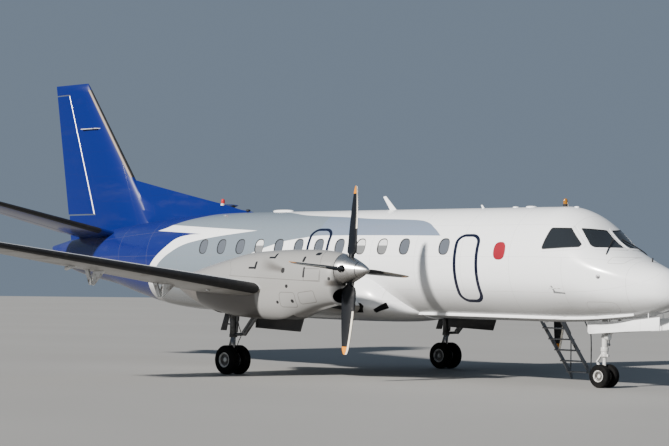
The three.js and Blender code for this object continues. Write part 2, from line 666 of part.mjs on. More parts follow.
// Spinner outline: x from the propeller's plane, radius
const SPINNER_PROFILE = [
  [SPINNER_BASE_X, 0],
  [SPINNER_BASE_X, 318],
  [-70, 296],
  [0, 270],
  [80, 240],
  [180, 198],
  [271, 158],
  [370, 108],
  [460, 55],
  [513, 0],
];
const SPINNER_SIDES = 24;
const SPINNER_ROOM = 12; // round the hub and shaft
const BLADE_HOLE = { radius: 78, from: 100, to: 340 };
// Blade sections: distance from the axis, chord, thickness, angle from the axis direction in degrees
const BLADE = [
  [130, 110, 108, 0],
  [300, 125, 100, 0],
  [350, 275, 78, -1],
  [480, 308, 60, -4],
  [880, 270, 34, -6],
  [1180, 217, 22, -7],
  [1480, 143, 13, -13],
  [PROP_RADIUS, 60, 8, -16],
];
const BLADE_COUNT = 4;
const BLADE_SIDES = 8;
const BLADE_TURN = THREE.MathUtils.degToRad(4);

function bladeRing([radius, chord, thickness, twist]) {
  const lean = THREE.MathUtils.degToRad(twist);
  return Array.from({ length: BLADE_SIDES }, (_, k) => {
    const angle = (2 * Math.PI * k) / BLADE_SIDES;
    const along = (chord / 2) * Math.cos(angle);
    const across = (thickness / 2) * Math.sin(angle);
    const x = along * Math.cos(lean) - across * Math.sin(lean);
    const y = along * Math.sin(lean) + across * Math.cos(lean);
    return new THREE.Vector3(x, y, radius);
  });
}

// Bar along the propeller's axis
const axial = (xFrom, xTo, radius) => rod([xFrom, 0, 0], [xTo, 0, 0], radius);

for (const { name, sign } of SIDES) {
  const group = placedGroup(PROP_PLANE_X, sign * ENGINE_Y, PROP_AXIS_Z);
  const blade = loft(BLADE.map(bladeRing));
  const bladeHole = rod([0, 0, BLADE_HOLE.from], [0, 0, BLADE_HOLE.to], BLADE_HOLE.radius);
  let propeller = axial(-HUB.half, HUB.half, HUB.radius).add(axial(HUB.shaftBackX, 0, HUB.shaftRadius));
  let hollow = axial(-HUB.half - SPINNER_ROOM, HUB.half + SPINNER_ROOM, HUB.radius + SPINNER_ROOM).add(
    axial(SPINNER_BASE_X - 30, 0, HUB.shaftRadius + SPINNER_ROOM),
  );
  for (let k = 0; k < BLADE_COUNT; k++) {
    const turn = new THREE.Matrix4().makeRotationX((2 * Math.PI * k) / BLADE_COUNT - BLADE_TURN);
    propeller = propeller.add(blade.transform(turn.elements));
    hollow = hollow.add(bladeHole.transform(turn.elements));
  }
  const spinner = turned(SPINNER_PROFILE, "x", SPINNER_SIDES).subtract(hollow);
  addNode(`propeller_${name}`, propeller, blackBlade(), group);
  addNode(`spinner_${name}`, spinner, bareMetal(), group);
}

const WHEEL_SIDES = 24;
const MAIN_AXLE_RADIUS = 32;
const NOSE_AXLE_RADIUS = 24;
const BORE_PLAY = 5;

// Twin wheels on the live axle that turns in the leg's bore; a flat facet of each tyre is at the bottom.
function twinWheels(tyre, axleRadius) {
  const shoulder = tyre.radius - 0.32 * (tyre.radius - tyre.rim);
  const half = tyre.width / 2;
  const profile = [
    [-tyre.spread - half * 0.62, 0],
    [-tyre.spread - half * 0.62, tyre.rim * 0.5],
    [-tyre.spread - half * 0.3, tyre.rim * 0.6],
    [-tyre.spread - half * 0.8, tyre.rim],
    [-tyre.spread - half, (tyre.rim + tyre.radius) / 2],
    [-tyre.spread - half * 0.86, shoulder],
    [-tyre.spread - half * 0.45, tyre.radius],
    [-tyre.spread + half * 0.45, tyre.radius],
    [-tyre.spread + half * 0.86, shoulder],
    [-tyre.spread + half, (tyre.rim + tyre.radius) / 2],
    [-tyre.spread + half * 0.8, tyre.rim],
    [-tyre.spread + half * 0.3, tyre.rim * 0.5],
    [-tyre.spread + half * 0.3, axleRadius],
  ];
  const other = profile.slice().reverse().map(([along, radius]) => [-along, radius]);
  const facet = Math.PI / WHEEL_SIDES;
  const round = [...profile, ...other].map(([along, radius]) => [along, radius / Math.cos(facet)]);
  const turn = new THREE.Matrix4().makeRotationY(facet);
  return turned(round, "y", WHEEL_SIDES).transform(turn.elements);
}

// Main gear leg from the axle: each bar's ends as x, distance from the leg's middle and height
const WELL_SIDE = WELL.halfWidth - GAP;
const MAIN_LEG = [
  { part: "piston", from: [0, 0, 245], to: [0, 0, 900], radius: 54 },
  { part: "cylinder", from: [0, 0, 775], to: [0, 0, 1540], radius: 74 },
  { part: "retraction cylinder", from: [105, 0, 880], to: [150, 0, 1500], radius: 36 },
  { part: "axle housing", from: [0, -55, MAIN_TYRE.radius], to: [0, 55, MAIN_TYRE.radius], radius: 58 },
  { part: "trunnion", from: [0, -WELL_SIDE, 1520], to: [0, WELL_SIDE, 1520], radius: 45 },
  { part: "brace lug", from: [0, 0, 830], to: [330, 0, 850], radius: 32 },
  { part: "brace pin", from: [835, -WELL_SIDE, 1435], to: [835, WELL_SIDE, 1435], radius: 26 },
  { part: "right stay", from: [0, -45, 1120], to: [0, -235, 1500], radius: 24 },
  { part: "left stay", from: [0, 45, 1120], to: [0, 235, 1500], radius: 24 },
];
// Side outlines from the axle as x and height, and how thick each plate is
const MAIN_PLATES = [
  { part: "upper torque link", outline: [[-45, 800], [-122, 570], [-92, 556], [-38, 730]], width: 52 },
  { part: "lower torque link", outline: [[-30, 340], [-122, 566], [-95, 590], [-30, 420]], width: 44 },
  { part: "drag brace", outline: [[281, 896], [369, 814], [904, 1394], [816, 1476]], width: 56 },
];
const LEG_DOOR = { outline: [[-68, 1290], [-215, 1290], [-355, 915], [-175, 915]], y: 40, half: 10 };
const LEG_DOOR_ARM = { from: [-20, 12, 1050], to: [-150, 42, 1050], radius: 16 };
// Long well door that hangs from the inboard edge of the well: outline as x and z, distance from the
// leg's middle
const WELL_DOOR = { outline: [[1310, 1250], [2770, 1250], [2655, 940], [1310, 985]], y: 310, half: 14 };
const plateAt = (x, outline) => outline.map(([along, z]) => [x + along, z]);

for (const { name, sign } of SIDES) {
  const y = sign * ENGINE_Y;
  const place = (x, across, z) => [MAIN_AXLE_X + x, y + sign * across, z];
  const boreRadius = MAIN_AXLE_RADIUS + BORE_PLAY;
  const axleBore = rod(place(0, -90, MAIN_TYRE.radius), place(0, 90, MAIN_TYRE.radius), boreRadius);
  let leg = bars([...MAIN_LEG, LEG_DOOR_ARM], place);
  for (const { outline, width } of MAIN_PLATES) {
    leg = leg.add(sidePlate(plateAt(MAIN_AXLE_X, outline), y - width / 2, y + width / 2));
  }
  const doorY = y + sign * LEG_DOOR.y;
  const legDoor = plateAt(MAIN_AXLE_X, LEG_DOOR.outline);
  leg = leg.add(sidePlate(legDoor, doorY - LEG_DOOR.half, doorY + LEG_DOOR.half));
  addNode(`main_leg_${name}`, leg.subtract(axleBore), darkSteel());

  const group = placedGroup(MAIN_AXLE_X, y, MAIN_TYRE.radius);
  addNode(`main_wheels_${name}`, twinWheels(MAIN_TYRE, MAIN_AXLE_RADIUS), blackRubber(), group);

  const doorMiddle = y - sign * WELL_DOOR.y;
  const door = sidePlate(WELL_DOOR.outline, doorMiddle - WELL_DOOR.half, doorMiddle + WELL_DOOR.half)
    .subtract(bodyLoft(NACELLE, NACELLE_STATIONS, NACELLE_SIDES, GAP, y));
  addNode(`main_gear_doors_${name}`, door, darkSteel());
}

// Nose gear: the fixed strut with its braces, steering cylinder and round taxi lamp
const STEER_TOP_Z = 700;
const STEER_GAP = 6;
const NOSE_WELL_END = NOSE_WELL.halfWidth - GAP;
const NOSE_LEG = [
  { part: "cylinder", from: [0, 0, STEER_TOP_Z + STEER_GAP], to: [0, 0, 1740], radius: 58 },
  { part: "steering collar", from: [0, 0, STEER_TOP_Z + STEER_GAP], to: [0, 0, 790], radius: 78 },
  { part: "trunnion", from: [0, -NOSE_WELL_END, 1660], to: [0, NOSE_WELL_END, 1660], radius: 36 },
  { part: "drag brace", from: [40, 0, 930], to: [640, 0, 1660], radius: 26 },
  { part: "brace pin", from: [620, -NOSE_WELL_END, 1650], to: [620, NOSE_WELL_END, 1650], radius: 22 },
  { part: "steering cylinder", from: [-30, 20, 840], to: [-30, 190, 840], radius: 30 },
  { part: "taxi lamp", from: [30, -30, 1000], to: [140, -30, 1000], radius: 70 },
];
// The turning fork below it
const NOSE_FORK = [
  { part: "piston", from: [0, 0, 190], to: [0, 0, STEER_TOP_Z], radius: 36 },
  { part: "turning collar", from: [0, 0, 600], to: [0, 0, STEER_TOP_Z], radius: 70 },
  { part: "axle housing", from: [0, -48, NOSE_TYRE.radius], to: [0, 48, NOSE_TYRE.radius], radius: 46 },
];
const NOSE_LINKS = [
  [[-40, 660], [-165, 500], [-185, 520], [-50, 694]],
  [[-30, 250], [-180, 470], [-165, 515], [-30, 330]],
];
const NOSE_LINK_HALF = 20;
const TOW_LUG = { backX: 40, frontX: 100, half: 25, zLow: 605, zHigh: 655 };
const whiteGear = () => finish(0xe4e6e8, 0.4);
const noseAt = (x, across, z) => [NOSE_AXLE_X + x, across, z];
addNode("nose_leg", bars(NOSE_LEG, noseAt), whiteGear());

const noseBore = rod(
  noseAt(0, -80, NOSE_TYRE.radius), noseAt(0, 80, NOSE_TYRE.radius), NOSE_AXLE_RADIUS + BORE_PLAY,
);
let fork = bars(NOSE_FORK, noseAt).add(
  box(
    NOSE_AXLE_X + TOW_LUG.backX, NOSE_AXLE_X + TOW_LUG.frontX,
    -TOW_LUG.half, TOW_LUG.half, TOW_LUG.zLow, TOW_LUG.zHigh,
  ),
);
for (const outline of NOSE_LINKS) {
  fork = fork.add(sidePlate(plateAt(NOSE_AXLE_X, outline), -NOSE_LINK_HALF, NOSE_LINK_HALF));
}
addNode("nose_fork", fork.subtract(noseBore), whiteGear());
const noseGroup = placedGroup(NOSE_AXLE_X, 0, NOSE_TYRE.radius);
addNode("nose_wheels", twinWheels(NOSE_TYRE, NOSE_AXLE_RADIUS), blackRubber(), noseGroup);

// Nose wheel doors: long leaves that hang from the well's edges on two hinge arms each
const NOSE_DOOR = {
  y: 240,
  half: 11,
  outline: [[7860, 1285], [8800, 1325], [9560, 1420], [9560, 1165], [8800, 1122], [7900, 1048], [7860, 1085]],
};
const NOSE_DOOR_ARM = { radius: 9, zLow: 1200, zHigh: 1500 };
const NOSE_DOOR_ARMS_X = [8050, 9300];
for (const { name, sign } of SIDES) {
  const y = sign * NOSE_DOOR.y;
  let door = sidePlate(NOSE_DOOR.outline, y - NOSE_DOOR.half, y + NOSE_DOOR.half);
  for (const x of NOSE_DOOR_ARMS_X) {
    door = door.add(rod([x, y, NOSE_DOOR_ARM.zLow], [x, y, NOSE_DOOR_ARM.zHigh], NOSE_DOOR_ARM.radius));
  }
  addNode(`nose_door_${name}`, door.subtract(wholeFuselage), whitePaint());
}

// Passenger door, swung out and slid forward on its arm
const DOOR_SHIFT_X = 760;
const DOOR_STANDOFF = 130;
const DOOR_WALL = 70;
const DOOR_SIDES = 72;
const DOOR_ROOM = 15;
const doorSkin = bodyLoft(FUSELAGE, [4000, 6100], DOOR_SIDES).subtract(
  bodyLoft(FUSELAGE, [3900, 6200], DOOR_SIDES, -DOOR_WALL),
);
const doorWidth = DOOR.xHigh - DOOR.xLow - 2 * DOOR_ROOM;
const doorPanel = doorSkin
  .intersect(box(5000, 5000 + doorWidth, 500, 1300, DOOR.sillZ + 10, DOOR.topZ - 10))
  .translate([DOOR.xLow + DOOR_ROOM - 5000 + DOOR_SHIFT_X, DOOR_STANDOFF, 0]);
const doorArm = bars(
  [
    { part: "pivot", from: [60, 1090, 2500], to: [60, 1260, 2500], radius: 28 },
    { part: "arm", from: [40, 1245, 2500], to: [420, 1245, 2500], radius: 26 },
  ],
  (x, y, z) => [DOOR.xHigh + x, y, z],
);
addNode("passenger_door", doorPanel.add(doorArm).subtract(wholeFuselage), whitePaint());

// Folding airstair from the sill to the ground, with a handrail on each side
const STAIR = { xLow: 5550, xHigh: 6090, topY: 905, topZ: 1560, footY: 2260, footZ: 26, steps: 6 };
const STEP = { halfDepth: 105, halfThick: 14 };
const RAIL = { radius: 14, height: 860, footInset: 60, topInset: 90 };
const stairAt = (share) => [
  STAIR.topY + share * (STAIR.footY - STAIR.topY),
  STAIR.topZ + share * (STAIR.footZ - STAIR.topZ),
];
const [stringerY, stringerZ] = stairAt(0.03);
const STRINGER = [
  [stringerY, stringerZ - 60],
  [stringerY, stringerZ + 60],
  [STAIR.footY, STAIR.footZ + 84],
  [STAIR.footY, STAIR.footZ - 14],
  [STAIR.footY - 20, STAIR.footZ - 14],
];
const railTop = [stringerY + RAIL.topInset, stringerZ - 30];
const railFoot = [STAIR.footY - RAIL.footInset, STAIR.footZ + 80];
const raised = ([y, z]) => [y, z + RAIL.height];
const RAIL_BARS = [
  { part: "top post", from: railTop, to: raised(railTop), radius: RAIL.radius },
  { part: "foot post", from: railFoot, to: raised(railFoot), radius: RAIL.radius },
  { part: "handrail", from: raised(railTop), to: raised(railFoot), radius: RAIL.radius },
];
let stair = box(STAIR.xLow, STAIR.xHigh, 925, 990, 1500, STAIR.topZ);
for (const x of [STAIR.xLow, STAIR.xHigh]) {
  stair = stair
    .add(frontPlate(STRINGER, x - RAIL.radius, x + RAIL.radius))
    .add(bars(RAIL_BARS, (y, z) => [x, y, z]));
}
for (let k = 0; k < STAIR.steps; k++) {
  const [y, z] = stairAt((k + 1) / (STAIR.steps + 0.6));
  const depth = [y - STEP.halfDepth, y + STEP.halfDepth];
  stair = stair.add(box(STAIR.xLow, STAIR.xHigh, ...depth, z - STEP.halfThick, z + STEP.halfThick));
}
addNode("airstair", stair.subtract(wholeFuselage), finish(0x83878c, 0.5, 0.4));

// Fin with its long dorsal fillet, rudder and boot
const FIN = {
  leadX: (z) => -6520 - 0.785 * (z - 4430),
  trailX: (z) => -9210 - 0.1921 * (z - 3560),
  thickness: 0.11,
};
const RUDDER = { bottomZ: 3600, topZ: 6690, hingeX: (z) => -8010 - 0.385 * (z - 3430) };
// Above and below the rudder, whose raked hinge lifts and lowers its corners as it turns
const RUDDER_ROOM = { top: 30, bottom: 34 };
const finChord = (z) => FIN.leadX(z) - FIN.trailX(z);
const rudderHinge = (z) => (FIN.leadX(z) - RUDDER.hingeX(z)) / finChord(z);
const onFin = (section, z) =>
  section.map(([along, across]) => {
    return new THREE.Vector3(FIN.leadX(z) - along * finChord(z), across * finChord(z), z);
  });
const finRing = (z, shrink = 1) => onFin(aerofoil(FIN.thickness * shrink, 0), z);
const rudderRing = (z) => onFin(hingedSection(FIN.thickness, 0, rudderHinge(z)), z);
const finBody = loft([finRing(2700), finRing(6850), finRing(6930, 0.75), finRing(FIN_TOP_Z, 0.3)]);
// Dorsal fillet stations: x, ridge z, half width at the foot
const DORSAL = [
  [-2140, 3575, 12],
  [-3200, 3775, 60],
  [-4430, 4010, 95],
  [-6520, 4430, 125],
  [-7300, 4430, 120],
];
const DORSAL_FOOT_Z = 3150;
const dorsal = loft(
  DORSAL.map(([x, ridge, half]) => [
    new THREE.Vector3(x, -half, DORSAL_FOOT_Z),
    new THREE.Vector3(x, -half * 0.6, (DORSAL_FOOT_Z + ridge) / 2),
    new THREE.Vector3(x, -8, ridge),
    new THREE.Vector3(x, 8, ridge),
    new THREE.Vector3(x, half * 0.6, (DORSAL_FOOT_Z + ridge) / 2),
    new THREE.Vector3(x, half, DORSAL_FOOT_Z),
  ]),
);
// Block between two heights whose front and back edges lean with the fin
function finSlab(zLow, zHigh, frontX, backX, halfWidth = 400) {
  const ring = (z) => [
    new THREE.Vector3(frontX(z), -halfWidth, z),
    new THREE.Vector3(frontX(z), halfWidth, z),
    new THREE.Vector3(backX(z), halfWidth, z),
    new THREE.Vector3(backX(z), -halfWidth, z),
  ];
  return loft([ring(zLow), ring(zHigh)]);
}
const FIN_BOOT = { width: 95, zLow: 4500, zHigh: 6800 };
const bootBack = (z) => FIN.leadX(z) - FIN_BOOT.width;
const ahead = (z) => FIN.leadX(z) + 200;
const rudderFront = (z) =>
  RUDDER.hingeX(z) + halfThickness(FIN.thickness, rudderHinge(z)) * finChord(z) + MOVING_GAP;
const rudderCut = finSlab(
  RUDDER.bottomZ - RUDDER_ROOM.bottom, RUDDER.topZ + RUDDER_ROOM.top, rudderFront, () => -10500,
);
const fin = finBody
  .subtract(rudderCut)
  .subtract(finSlab(FIN_BOOT.zLow, FIN_BOOT.zHigh, ahead, bootBack))
  .add(dorsal)
  .subtract(wholeFuselage)
  .subtract(box(-12000, -9165, -400, 400, 2500, RUDDER.bottomZ - RUDDER_ROOM.bottom));
addNode("fin", fin, bluePaint());
const bootSlab = finSlab(
  FIN_BOOT.zLow + GAP, FIN_BOOT.zHigh - GAP, ahead, (z) => bootBack(z) + GAP * 1.5,
);
addNode("fin_boot", finBody.intersect(bootSlab), finish(0x3a2f2b, 0.7));
addNode("rudder", loft([rudderRing(RUDDER.bottomZ), rudderRing(RUDDER.topZ)]), bluePaint());

// Tailplane halves with elevators and boots
const TAILPLANE = {
  leadX: (y) => -6770 - 0.24 * (y - 450),
  leadZ: (y) => 3080 + 0.2217 * (y - 450),
  chord: (y) => 2000 - 0.2156 * (y - 450),
  thickness: 0.11,
};
const ELEVATOR = { yInner: 640, yOuter: 4560, hinge: 0.69, rootRoom: 45 };
const TAIL_BOOT = { yInner: 780, yOuter: 4480, width: 0.07 };

function tailPoint(sign, y, along, height) {
  return new THREE.Vector3(
    TAILPLANE.leadX(y) - along * TAILPLANE.chord(y),
    sign * y,
    TAILPLANE.leadZ(y) + height,
  );
}
const onTail = (section, sign, y) =>
  section.map(([along, high]) => tailPoint(sign, y, along, high * TAILPLANE.chord(y)));
const tailRing = (sign, y, shrink = 1) => onTail(aerofoil(TAILPLANE.thickness * shrink, 0), sign, y);
const elevatorRing = (sign, y) => onTail(hingedSection(TAILPLANE.thickness, 0, ELEVATOR.hinge), sign, y);
function tailSlab(sign, yInner, yOuter, front, back) {
  const ring = (y) => [
    tailPoint(sign, y, front, 500),
    tailPoint(sign, y, back, 500),
    tailPoint(sign, y, back, -500),
    tailPoint(sign, y, front, -500),
  ];
  return loft([ring(yInner), ring(yOuter)]);
}
const elevatorNose = halfThickness(TAILPLANE.thickness, ELEVATOR.hinge);
const elevatorFront = ELEVATOR.hinge - elevatorNose - MOVING_GAP / TAILPLANE.chord(TAIL_SEMISPAN);
const finRoot = loft([finRing(2700, 1.03), finRing(3500, 1.03)]);
for (const { name, sign } of SIDES) {
  const whole = loft([
    tailRing(sign, 60),
    tailRing(sign, 4500),
    tailRing(sign, 4590, 0.7),
    tailRing(sign, TAIL_SEMISPAN, 0.25),
  ]);
  const plane = whole
    .subtract(finRoot)
    .subtract(
      tailSlab(sign, ELEVATOR.yInner - ELEVATOR.rootRoom, TAIL_SEMISPAN + 50, elevatorFront, 1.2),
    )
    .subtract(tailSlab(sign, TAIL_BOOT.yInner, TAIL_BOOT.yOuter, -0.05, TAIL_BOOT.width))
    .subtract(wholeFuselage)
    .subtract(box(-12000, -8500, -ELEVATOR.yInner, ELEVATOR.yInner, 2000, 4000));
  addNode(`tailplane_${name}`, plane, bluePaint());
  const boot = whole.intersect(
    tailSlab(sign, TAIL_BOOT.yInner + GAP, TAIL_BOOT.yOuter - GAP, -0.05, TAIL_BOOT.width - 0.0003),
  );
  addNode(`tail_boot_${name}`, boot, blackRubber());
  addNode(
    `elevator_${name}`,
    loft([elevatorRing(sign, ELEVATOR.yInner), elevatorRing(sign, ELEVATOR.yOuter)]),
    bluePaint(),
  );
}

// Blade antenna on the cabin roof
const ANTENNA = [[2468, 3540], [2275, 3540], [2045, 3855], [2120, 3870]];
addNode("roof_antenna", sidePlate(ANTENNA, -14, 14).subtract(wholeFuselage), whitePaint());

export default airliner;
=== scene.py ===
import math

import bpy
from mathutils import Matrix, Vector


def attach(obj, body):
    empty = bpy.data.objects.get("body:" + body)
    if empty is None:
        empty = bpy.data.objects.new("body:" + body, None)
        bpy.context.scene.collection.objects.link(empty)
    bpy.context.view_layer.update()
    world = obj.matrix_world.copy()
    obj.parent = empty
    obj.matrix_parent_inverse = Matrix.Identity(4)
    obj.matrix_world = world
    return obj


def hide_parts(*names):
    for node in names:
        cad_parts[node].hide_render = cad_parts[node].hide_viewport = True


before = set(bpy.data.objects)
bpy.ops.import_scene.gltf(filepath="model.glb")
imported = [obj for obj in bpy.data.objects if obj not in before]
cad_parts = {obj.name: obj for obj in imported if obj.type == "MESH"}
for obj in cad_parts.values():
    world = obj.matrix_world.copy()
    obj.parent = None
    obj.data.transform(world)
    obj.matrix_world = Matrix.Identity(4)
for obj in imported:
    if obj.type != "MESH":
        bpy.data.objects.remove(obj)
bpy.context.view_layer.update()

# Camera, apron and light. The long lens stands off the starboard nose at eye height, as the
# photograph was taken, over a plain pale apron under soft studio light: a broad key low on the
# starboard beam and an even fill all round.
CAMERA_PLACE = Vector((31.088, -30.576, 1.956))
CAMERA_TURN = {"yaw": 0.7849, "pitch": 0.031, "roll": 0.0187}
LENS_MM = 103.81


def camera_axes(yaw, pitch, roll):
    forward = Vector((-math.sin(yaw) * math.cos(pitch), math.cos(yaw) * math.cos(pitch), math.sin(pitch)))
    level = Vector((math.cos(yaw), math.sin(yaw), 0.0))
    above = level.cross(forward)
    right = level * math.cos(roll) + above * math.sin(roll)
    up = above * math.cos(roll) - level * math.sin(roll)
    return right, up, forward


camera_right, camera_up, camera_forward = camera_axes(**CAMERA_TURN)
bpy.ops.object.camera_add()
camera = bpy.context.object
camera.matrix_world = Matrix.Translation(CAMERA_PLACE) @ Matrix(
    (camera_right, camera_up, -camera_forward)
).transposed().to_4x4()
camera.data.lens = LENS_MM
camera.data.sensor_width = 36
camera.data.clip_end = 400
bpy.context.scene.camera = camera

FILL_COLOUR = (0.58, 0.74, 0.96, 1)
FILL_STRENGTH = 0.30
sky = bpy.data.worlds.new("soft sky")
sky.use_nodes = True
sky.node_tree.nodes["Background"].inputs["Color"].default_value = FILL_COLOUR
sky.node_tree.nodes["Background"].inputs["Strength"].default_value = FILL_STRENGTH
bpy.context.scene.world = sky

KEY_FROM = (0.04, -1.0, 0.50)
bpy.ops.object.light_add(type="SUN", location=(12, -14, 22))
sun = bpy.context.object
sun.rotation_euler = Vector(KEY_FROM).to_track_quat("Z", "Y").to_euler()
sun.data.energy = 10.0
sun.data.angle = math.radians(3)
sun.data.color = (1.0, 0.965, 0.91)


class Value:
    """A value from a socket. Sums written with it become Math nodes; on masks & is both and | is either."""

    def __init__(self, wiring, socket):
        self.wiring = wiring
        self.socket = socket

    def math(self, operation, *values):
        return self.wiring.add("Math", self, *values, operation=operation)[0]

    def __add__(self, other):
        return self.math("ADD", other)

    def __sub__(self, other):
        return self.math("SUBTRACT", other)

    def __rsub__(self, other):
        return self.wiring.add("Math", other, self, operation="SUBTRACT")[0]

    def __mul__(self, other):
        return self.math("MULTIPLY", other)

    def __or__(self, other):
        return self.math("MAXIMUM", other)

    def __abs__(self):
        return self.math("ABSOLUTE")

    def ramp(self, low, high):
        """A smooth step from 0 at low to 1 at high."""
        return self.wiring.add("MapRange", self, low, high, 0.0, 1.0, interpolation_type="SMOOTHSTEP")[0]

    __rmul__ = __and__ = __mul__


class Wiring:
    """Adds nodes to the tree of one material or of one group."""

    def __init__(self, tree):
        self.tree = tree

    def add(self, kind, *values, **settings):
        """A node with its settings and with values for its sockets in order. Its outputs come back."""
        node = self.tree.nodes.new("ShaderNode" + kind)
        for setting, value in settings.items():
            setattr(node, setting, value)
        for socket, value in zip(node.inputs, values):
            self.join(value, socket)
        return [Value(self, output) for output in node.outputs]

    def join(self, value, socket):
        if isinstance(value, Value):
            self.tree.links.new(value.socket, socket)
        elif value is not None:
            socket.default_value = value

    def blend(self, share, first, second):
        return self.add("Mix", share, None, None, None, None, None, first, second, data_type="RGBA")[2]

    def grimed(self, scale, amount, stretch=None):
        """The grime group's masks on this surface, for DIRT, GRAIN and CLOUD."""
        point = self.point
        if stretch:
            point = self.add("Mapping", point, (0, 0, 0), (0, 0, 0), stretch)[0]
        return self.add("Group", point, scale, amount, node_tree=grime)

    def surface(self, colour, roughness=None, height=None, strength=0.2, depth=0.001):
        """Feeds the shader with a colour, a roughness where that changes, and a bump where one is given."""
        self.join(colour, self.shader["Base Color"])
        self.join(roughness, self.shader["Roughness"])
        if height:
            bump = self.tree.nodes.new("ShaderNodeBump")
            bump.inputs["Strength"].default_value = strength
            bump.inputs["Distance"].default_value = depth
            self.join(height, bump.inputs["Height"])
            self.tree.links.new(bump.outputs[0], self.shader["Normal"])


def shader_group(name, inputs, outputs):
    """A node group: its wiring, the values that it is given, and the sockets for its results."""
    tree = bpy.data.node_groups.new(name, "ShaderNodeTree")
    for socket, value in inputs.items():
        kind = "Vector" if value is None else "Float"
        made = tree.interface.new_socket(socket, in_out="INPUT", socket_type="NodeSocket" + kind)
        if value is not None:
            made.default_value = value
    for socket in outputs:
        tree.interface.new_socket(socket, in_out="OUTPUT", socket_type="NodeSocketFloat")
    wiring = Wiring(tree)
    given = tree.nodes.new("NodeGroupInput").outputs[:len(inputs)]
    result = tree.nodes.new("NodeGroupOutput").inputs
    return tree, wiring, [Value(wiring, socket) for socket in given], result


# Grime of an outdoor surface: Dirt is patchy, Grain is fine and Cloud is broad and soft.
grime, w, (point, scale, amount), result = shader_group(
    "grime", {"Point": None, "Scale": 1.0, "Amount": 0.5}, ["Dirt", "Grain", "Cloud"])
DIRT, GRAIN, CLOUD = range(3)
patches = w.add("TexNoise", point, None, scale, 6.0, 0.62)[0]
threshold = amount * -0.4 + 0.72
w.join(patches.ramp(threshold, threshold + 0.22), result["Dirt"])
w.join(w.add("TexNoise", point, None, scale * 22.0, 4.0, 0.7)[0], result["Grain"])
w.join(w.add("TexNoise", point, None, scale * 0.35, 2.0, 0.5)[0], result["Cloud"])


def new_material(name, **sockets):
    """A material with a Principled shader whose constant sockets are set here, and its wiring."""
    material = bpy.data.materials.new(name)
    material.use_nodes = True
    wiring = Wiring(material.node_tree)
    wiring.shader = material.node_tree.nodes["Principled BSDF"].inputs
    for socket, value in sockets.items():
        wiring.shader[socket.replace("_", " ")].default_value = value
    coordinates = {output.socket.name: output for output in wiring.add("TexCoord")}
    wiring.point, wiring.normal = coordinates["Object"], coordinates["Normal"]
    wiring.x, wiring.y, wiring.z = wiring.add("SeparateXYZ", wiring.point)
    return material, wiring


APRON_SIZE = 260
bpy.ops.mesh.primitive_plane_add(size=APRON_SIZE, location=(0, 0, -0.001))
apron = bpy.context.object
apron.name = "apron_floor"
material, w = new_material("pale apron", Roughness=0.75)
w.surface(w.blend(w.grimed(0.35, 0.3)[CLOUD], (0.245, 0.24, 0.23, 1), (0.29, 0.285, 0.275, 1)))
apron.data.materials.append(material)

# Fuselage: a riveted aluminium tube with a drooped nose and a tapering tail. Each skin piece is
# lofted from the hull lines, then cut for the windows, the entry door and the nose wheel well.
# Columns: x, top z, bottom z, half width, z of the widest line, squareness (2 is an ellipse)
HULL = [
    (-9.800, 2.790, 2.640, 0.070, 2.715, 2.00),
    (-9.400, 2.865, 2.345, 0.215, 2.625, 2.00),
    (-8.800, 2.985, 2.140, 0.355, 2.590, 2.00),
    (-8.000, 3.110, 1.975, 0.500, 2.560, 2.00),
    (-7.000, 3.240, 1.828, 0.670, 2.530, 2.00),
    (-6.000, 3.350, 1.590, 0.820, 2.495, 2.00),
    (-5.000, 3.440, 1.385, 0.955, 2.460, 2.00),
    (-4.000, 3.515, 1.282, 1.062, 2.435, 2.00),
    (-3.000, 3.555, 1.257, 1.130, 2.415, 2.00),
    (-2.200, 3.565, 1.255, 1.155, 2.410, 2.00),
    (-1.400, 3.565, 1.255, 1.155, 2.410, 2.00),
    (6.100, 3.565, 1.255, 1.155, 2.410, 2.00),
    (6.900, 3.563, 1.258, 1.153, 2.405, 2.02),
    (7.400, 3.542, 1.275, 1.140, 2.375, 2.04),
    (7.900, 3.329, 1.297, 1.095, 2.320, 2.02),
    (8.400, 2.865, 1.330, 1.000, 2.235, 2.14),
    (8.900, 2.579, 1.382, 0.835, 2.140, 2.19),
    (9.300, 2.416, 1.448, 0.645, 2.055, 2.10),
    (9.600, 2.296, 1.540, 0.470, 1.985, 2.05),
    (9.750, 2.169, 1.632, 0.325, 1.940, 2.00),
    (9.830, 2.040, 1.735, 0.195, 1.912, 2.00),
    (9.865, 1.950, 1.850, 0.060, 1.900, 2.00),
]
HULL_SIDES = 96
# Room that a piece leaves where its foot is cut to the skin
CLEARANCE = 0.0003
SEAM_GAP = 0.00015


def lines_at(table, x):
    """All columns of a hull table at one station, on a smooth cubic through its rows."""
    last = len(table) - 1
    found = next((i for i, row in enumerate(table) if row[0] >= x), last)
    low = min(max(found - 1, 0), last - 1)
    before, after = table[low], table[low + 1]
    width = after[0] - before[0]
    t = (x - before[0]) / width

    def slope(i, column):
        first, second = table[max(i - 1, 0)], table[min(i + 1, last)]
        return (second[column] - first[column]) / (second[0] - first[0])

    values = []
    for column, value in enumerate(before):
        rise = after[column] - value
        start, end = slope(low, column) * width, slope(low + 1, column) * width
        bend = start + end - 2 * rise
        values.append(value + t * (start + t * (rise - start - bend + t * bend)))
    return values


def circle(sides):
    """Points round a unit circle."""
    turns = [2 * math.pi * k / sides for k in range(sides)]
    return [(math.cos(turn), math.sin(turn)) for turn in turns]


def squared_circle(sides, square):
    """Points round a unit circle whose corners fill out as the squareness grows from 2."""
    return [[math.copysign(abs(way) ** (2 / square), way) for way in ways] for ways in circle(sides)]


